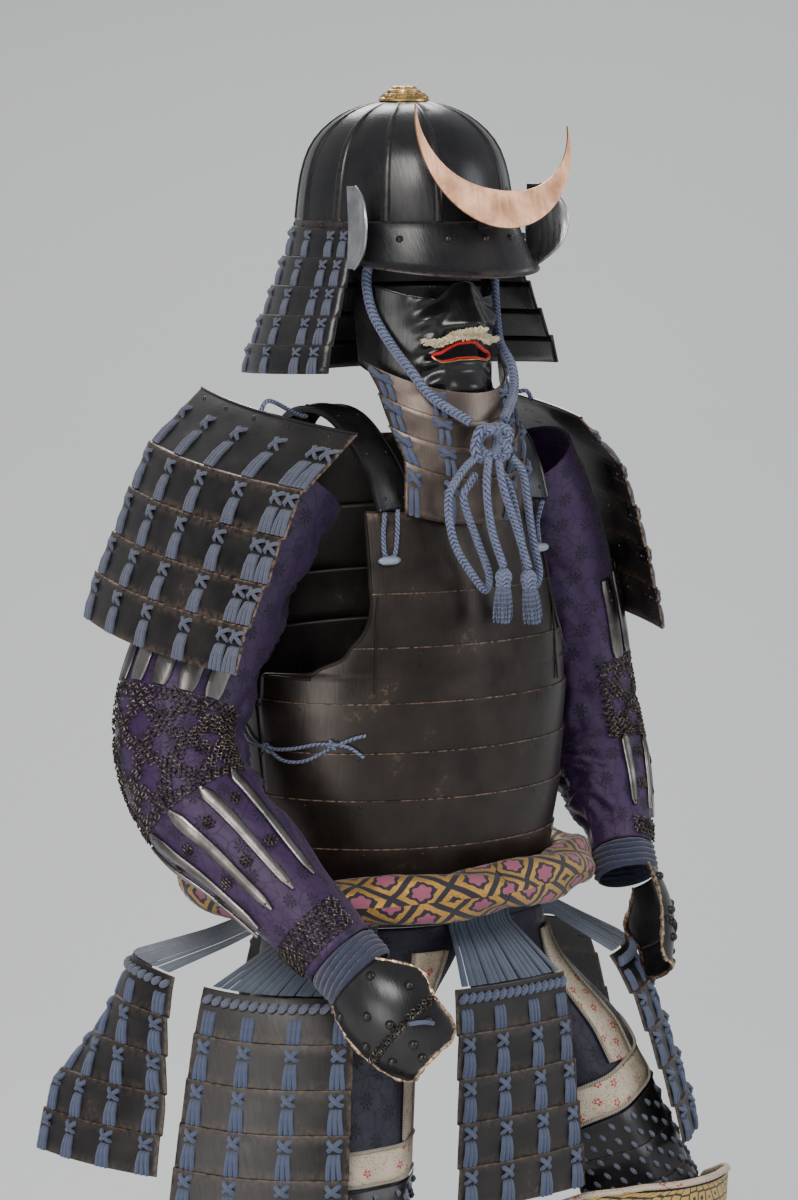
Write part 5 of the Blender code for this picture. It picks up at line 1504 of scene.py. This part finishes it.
# Middle, half width, way it faces, reach, length and how far it turns that way.
TASSETS = [(1.0, 15.7, 0.0, 22.0, 240.0, 0.0), (60.0, 21.5, 60.0, 84.0, 232.0, 0.0),
           (118.0, 21.5, 108.0, 84.0, 232.0, 0.0), (180.0, 15.7, 180.0, 52.0, 240.0, 0.0),
           (248.0, 21.5, 284.0, 84.0, 232.0, 0.85), (300.0, 21.5, 304.0, 74.0, 240.0, 0.0)]
lacing, chance = bmesh.new(), random.Random(5)
for middle, half, *_ in TASSETS:
    pitch = 2 * half * BRAIDED / SKIRT_BRAIDS
    for k in range(SKIRT_BRAIDS):
        angle = middle - half * BRAIDED + pitch * (k + 0.5)
        lift, drift = chance.uniform(-0.9, 0.7), chance.uniform(-0.25, 0.25) * pitch
        strip(lacing, lambda u, v, out: skirt_spot(u + drift * v, v, out + lift), angle, pitch * 0.49, 0.0,
              1.0, -2.2, 0.2, 16)
piece("skirt_braids", lacing, FLAT_BRAID, "blue_lace", "skirt_lacing")

# Tassets: six hanging plates of five lacquered lames each
# The top lame carries a row of twisted rope lacing; the others hang from it on blue silk.

TASSET_TIE = [(0.10, -1.0), (0.108, 1.0), (0.15, 1.9), (0.193, 1.4), (0.199, 0.4)]
ROPE_TURN = [(-3.6, 0.058, -0.4), (-2.0, 0.052, 2.4), (2.2, 0.036, 2.8), (4.4, 0.028, 0.0)]
ROPE_HALF = [2.0, 3.0, 3.7, 4.1, 4.2, 4.1, 3.7, 3.0, 2.0]


def tasset_spot(tasset, across, row, out=0.0):
    middle, half, faces, reach, long, twist = tasset
    share, step = row
    turn = math.radians(faces)
    outward = Vector((math.sin(turn), -math.cos(turn), 0))
    sideways = Vector((math.cos(turn), math.sin(turn), 0))
    turned_edge = skirt_spot(middle, 1.0) + sideways * across * 86.0 - outward * 12.0 * across**2
    start = skirt_spot(middle + across * half, 1.0).lerp(turned_edge, twist * min(1.0, share * 1.5))
    lift = reach * share**0.8 + step + out + 0.7
    fall = math.sqrt((long * share) ** 2 - (reach * share) ** 2)
    seat = 0.5 * abs(math.cos(math.radians(middle))) - 2.3
    return start + outward * lift + sideways * across * 14.0 * share + Vector((0, 0, seat - fall))


TASSET_LACQUER = lacquer_look("tasset_lacquer", (0.009, 0.008, 0.008), (0.026, 0.022, 0.020),
                              (0.22, 0.15, 0.11), 0.6, 0.34, 0.50, 0.2)
TASSET_ROWS = lames(0.0, 1.0, 5, LACED_STEP, 0.0)
fine, worn = fine_lames(TASSET_ROWS)
fine[:3] = [(0.0, 0.0), (0.003, 0.0), (0.006, 0.0)]
worn[:3] = [0.6, 0.3, 0.0]
for k, tasset in enumerate(TASSETS, 1):
    spot = lambda u, v, out=0.0: tasset_spot(tasset, u, v, out)
    made = formed(spot, steps(-1.0, 1.0, 36), fine, edge=lambda i, j: 0.7 if i in (0, 36) else worn[j])
    piece("tasset_lames_%d" % k, made, TASSET_LACQUER, "black_lacquer", "tasset_%d" % k, wall=2.0,
          soften=0.5)
    unit = 2.0 / (spot(-1.0, (0.5, 0)) - spot(1.0, (0.5, 0))).length
    laces, rope = bmesh.new(), bmesh.new()
    for across in (-0.84, -0.3, 0.3, 0.84):
        lace_marks(laces, spot, TASSET_ROWS, across, 6.0, unit, 2.8, first=1)
        for shift in (-4.9, 0.0, 4.9):
            line = [spot(across + shift * unit, (share, 0.0), lift) for share, lift in TASSET_TIE]
            tube(line, 2.7, laces, sides=6, flat=0.75)
    piece("tasset_laces_%d" % k, laces, LACE_BLUE, "blue_lace")
    for across in steps(-0.9, 0.9, 14):
        line = [spot(across + shift * unit, (share, 0.0), lift) for shift, share, lift in ROPE_TURN]
        tube(drawn(line, 8), ROPE_HALF, rope)
    piece("tasset_rope_%d" % k, rope, LACE_GREY if k > 3 else LACE_BLUE, "blue_lace")

# Thigh guard: a belt, two figured aprons, printed leather strips and laced plates
# Each apron of dark silk is hemmed in cream and falls round the front of the thigh; leather
# strips with small red flowers cover its seams, and rows of small black plates cover its foot.

BELT_OUT, BELT_FOOT = -2.6, 0.33
DARK_SATIN = satin_look("dark_satin", (0.012, 0.009, 0.026), (0.005, 0.004, 0.010), 0.1)


def leather_look():
    """Cream leather printed with fine black specks and small red flowers."""
    made, tree, shader = look_of("printed_leather", 0.6)
    uv = cloth_uv(tree, 0.006)
    cell = use_group(tree, WOVEN_CELLS, UV=uv, Size=0.021, Turn=0.4, Petals=5.0)
    bloom = between(tree, minus(tree, petals_at(tree, cell, 0.20, 0.06), cell["Far"]), 0.0, 0.03)
    bloom = times(tree, bloom, between(tree, cell["Far"], 0.07, 0.11))
    bloom = times(tree, bloom, between(tree, cell["Chance"], 0.45, 0.55))
    specks = node(tree, "ShaderNodeTexVoronoi", {"Vector": uv, "Scale": 520.0}).outputs["Distance"]
    clumps = blotches(tree, uv, 120.0, 2.0)
    black = between(tree, minus(tree, 0.36, specks), 0.0, 0.08)
    black = times(tree, black, between(tree, clumps, 0.44, 0.50))
    stain = blotches(tree, uv, 25.0, 4.0)
    colour = tinted(tree, stain, (0.40, 0.31, 0.22), (0.66, 0.57, 0.44))
    colour = tinted(tree, times(tree, black, 0.8), colour, (0.03, 0.025, 0.03))
    dressed(tree, shader, tinted(tree, bloom, colour, (0.42, 0.035, 0.03)),
            plus(tree, stain, times(tree, clumps, 0.4)), 0.4, 0.0008)
    return made


CREAM_LEATHER = leather_look()
STITCH = braid_look("black_and_cream_edging", (0.46, 0.40, 0.30), (0.006, 0.006, 0.010), 0.0060)
sewn("silk_belt", lambda u, v: skirt_spot(u, v, BELT_OUT), steps(0, 360, 120), steps(0.05, BELT_FOOT, 8),
     DARK_SATIN, "purple_brocade", "haidate_belt", held="gathered", on="riveted_cuirass_front",
     closed=True, wall=1.6)

# Hip, knee, angles round the thigh, half width at hip and knee, angles along the belt.
THIGHS = {
    "l": (Vector((100, 8, -585)), Vector((236, -112, -900)), (-62.0, 120.0), 108.0, 92.0, (6.0, 112.0)),
    "r": (Vector((-100, 8, -585)), Vector((-212, -134, -912)), (-120.0, 60.0), 100.0, 86.0, (-112.0, -6.0)),
}
UPRIGHTS, BAND_OUT = {"l": (0.36, 0.50), "r": (0.80, 0.94)}, {"l": 3.3, "r": 2.5}
PLATE_DOT = [(-0.8, -1, -0.6, 1.5), (-0.5, -0.6, 0.8, 2.2), (0.0, 0.0, 1.6, 2.6), (0.5, 0.6, 0.8, 2.2),
             (0.8, 1, -0.6, 1.5)]
DOT_LONG, PLATE_FOOT = 0.007, 0.985


def thigh_spot(side, across, share, out=0.0):
    hip, knee, (first, last), wide, narrow, (top_first, top_last) = THIGHS[side]
    top = skirt_spot(top_first + (top_last - top_first) * across, BELT_FOOT, BELT_OUT - 1.6)
    top.z -= 0.8
    angle = math.radians(first + (last - first) * across)
    pleat = 4.5 * math.sin(across * 26.0) * share * (1 - share * 0.7)
    outward = Vector((math.sin(angle), -math.cos(angle), 0))
    round_thigh = hip + (knee - hip) * share + outward * (wide + (narrow - wide) * share + pleat)
    blend = min(1.0, share * 2.4)
    flat = top.lerp(round_thigh, blend * blend * (3 - 2 * blend))
    return Vector((flat.x, flat.y, top.z + (knee.z - top.z) * share)) + outward * out


def apron_spot(side, across, share):
    """The silk itself, with soft folds pressed in between what is sewn on it."""
    fold = noise.noise(Vector((across * 7.0 + HAND[side] * 5, share * 2.2, 0.3)))
    return thigh_spot(side, across, share, -3.2 * abs(fold) * min(1.0, 6 * share, 8 * (1 - share)))


def band_share(side, across, lower):
    if side == "r":
        return 0.69 if lower else 0.60
    return (0.72 if lower else 0.62) - 0.26 * across


def band_spot(u, row):
    top, foot = band_share(side, u, False), band_share(side, u, True)
    return thigh_spot(side, u, top + (foot - top) * row, BAND_OUT[side])


def upright_spot(v, row):
    first, last = UPRIGHTS[side]
    return thigh_spot(side, first + (last - first) * row, v, BAND_OUT[side] - 0.6)


def plate_spot(u, row, out=0.0):
    top = band_share(side, u, True) + 0.012
    return thigh_spot(side, u, top + (PLATE_FOOT - top) * row[0], 2.0 + max(0.0, row[1]) + out)


def leather_strip(name, spot, across, *replaced):
    """A strip of leather on the apron, both its long edges bound with a twisted black and cream cord."""
    down = steps(0.0, 1.0, 4)
    made = piece(name, formed(spot, across, down), CREAM_LEATHER, "cream_leather", *replaced, wall=CLOTH_WALL)
    edging = bmesh.new()
    for row in (down[0], down[-1]):
        tube([spot(u, row) for u in across], 2.0, edging)
    bound = piece(name + "_edging", edging, STITCH, "cream_leather")
    cut_of(spot, across, down)


for side in HAND:
    sewn("silk_apron_" + side, lambda u, v: apron_spot(side, u, v), steps(0.0, 1.0, 90), steps(0.0, 1.0, 72),
         DARK_SATIN, "purple_brocade", "haidate_cloth_" + side, held="hung", on="silk_belt",
         wall=CLOTH_WALL, angle=80)
    leather_strip("leather_band_" + side, band_spot, steps(0.0, 1.0, 60), "haidate_trim_" + side)
    foot = band_share(side, sum(UPRIGHTS[side]) / 2, False) - 0.006
    leather_strip("leather_upright_" + side, upright_spot, steps(foot, 0.08, 40))
    rows = lames(0.0, 1.0, 3, 2.4)
    fine, worn = fine_lames(rows, 3)
    made = formed(plate_spot, steps(0.0, 1.0, 72), fine, edge=lambda i, j: worn[j] * 0.6)
    piece("small_plates_" + side, made, BLACK_LACQUER, "black_lacquer", "haidate_plates_" + side, wall=1.5)
    dots = bmesh.new()
    for n in range(19):
        for j in range(6):
            u, v = 0.03 + n * 0.052, (j + 0.5 + 0.5 * (n % 2)) / 6.6
            step = step_at(rows, min(0.98, v))
            line = [plate_spot(u + a * DOT_LONG, (min(0.98, v + b * 0.03), step), lift)
                    for a, b, lift, _ in PLATE_DOT]
            tube(line, [half for *_, half in PLATE_DOT], dots, sides=6)
    piece("plate_dots_" + side, dots, LACE_GREY, "blue_lace")

# Shin guards: lacquered splints with a knee plate above
# The knee's padded plate is covered in yellow figured cloth with hexagons, bound in printed
# leather; below it seven ribs stiffen the guard round the shin.

LEGS = {
    "l": (Vector((214.3, -134, -845)), Vector((235, -112, -1390))),
    "r": (Vector((-188.7, -146, -862)), Vector((-213, -70, -1390))),
}
SHIN_ROWS = [(0.0, 30.0, 116.0), (0.02, 62.0, 116.0), (0.06, 86.0, 115.0), (0.13, 96.0, 113.0),
             (0.19, 92.0, 108.0), (0.215, 84.0, 84.0), (0.35, 90.0, 74.0), (0.55, 92.0, 70.0),
             (0.8, 90.0, 56.0), (1.0, 84.0, 50.0)]
SHIN_SHARES = steps(0.0, 0.21, 14) + [0.2149] + steps(0.225, 1.0, 30)
KNEE_FOOT = 0.20


def shin_spot(side, across, share, out=0.0, ribs=False):
    top, bottom = LEGS[side]
    angle = math.radians(across * read(SHIN_ROWS, share, 1))
    if ribs and share > 0.23:
        out -= 1.6 * (1 - abs(math.cos(across * math.pi * 3.5)) ** 0.25)
    outward = Vector((math.sin(angle), -math.cos(angle), 0))
    return top + (bottom - top) * share + outward * (read(SHIN_ROWS, share, 2) + out)


def knee_look():
    """Yellow cloth with a net of dark hexagons and ovals."""
    made, tree, shader = look_of("knee_cloth", 0.6, Sheen_Weight=0.2)
    uv = cloth_uv(tree)
    honeycomb = {"Vector": uv, "Scale": 62.0, "Randomness": 0.25}
    net = node(tree, "ShaderNodeTexVoronoi", honeycomb, feature="DISTANCE_TO_EDGE").outputs["Distance"]
    spots = node(tree, "ShaderNodeTexVoronoi", honeycomb).outputs["Distance"]
    lines = between(tree, minus(tree, 0.09, net), 0.0, 0.03)
    ovals = between(tree, minus(tree, 0.20, spots), 0.0, 0.03)
    marks = calc(tree, "MAXIMUM", lines, ovals)
    dressed(tree, shader, tinted(tree, marks, (0.50, 0.33, 0.08), (0.02, 0.015, 0.012)),
            minus(tree, weave_height(tree, uv), marks), 0.5, 0.0006)
    return made


KNEE_CLOTH = knee_look()
for side in HAND:
    made = formed(lambda u, v: shin_spot(side, u, v, 0.0, True), steps(-1.0, 1.0, 84), SHIN_SHARES)
    piece("shin_splints_" + side, made, BLACK_LACQUER, "black_lacquer", "shin_guard_" + side, wall=2.0,
          angle=60)
    sewn("knee_cloth_" + side, lambda u, v: shin_spot(side, u, v, 1.2), steps(-0.97, 0.97, 40),
         steps(0.012, KNEE_FOOT, 16), KNEE_CLOTH, "cream_leather", held="stretched",
         on="shin_splints_" + side, wall=1.1, soften=0.4)
    rim = [(-1.0, v) for v in steps(KNEE_FOOT, 0.0, 24)] + [(u, 0.0) for u in steps(-0.9, 0.9, 14)]
    rim += [(1.0, v) for v in steps(0.0, KNEE_FOOT, 24)]
    rim = [shin_spot(side, u, v, 0.4) for u, v in rim]
    piece("knee_binding_" + side, tube(rim, 4.2, flat=0.9), CREAM_LEATHER, "cream_leather")

# Side tie: a light blue cord that closes the cuirass under the right arm
# It is knotted on itself at the seam and again near its two ends.

SIDE_TIE = [(-112, -310), (-98, -338), (-84, -345), (-72, -343), (-60, -336), (-50, -338), (-44, -350)]
TIE_END = [(-84, -347), (-76, -357), (-66, -355), (-55, -339), (-48, -330), (-43, -326)]
TIE_HALF = 2.0
knots = bmesh.new()
for angle, height in ((-84, -345), (-55, -336.5)):
    middle = torso_spot(angle, height, 4.6)
    for lean in (0.9, -0.9):
        turn = Matrix.Rotation(math.radians(angle), 3, "Z") @ Matrix.Rotation(lean, 3, "Y")
        ring = [middle + turn @ Vector((1.6 * math.cos(t), 3.2 * math.sin(t), 4.4 * math.cos(t)))
                for t in steps(0, math.tau, 16)]
        tube(ring, 1.8, knots)
knots = piece("tie_knots", knots, CORD_BRAID, "blue_lace")
tie, second = [torso_spot(a, h, 4.0) for a, h in SIDE_TIE], [torso_spot(a, h, 3.2) for a, h in TIE_END]
laid_cord("blue_side_tie", tie, TIE_HALF, CORD_BRAID, "blue_lace", 60, "side_tie")
laid_cord("blue_tie_end", second, TIE_HALF, CORD_BRAID, "blue_lace", 40)
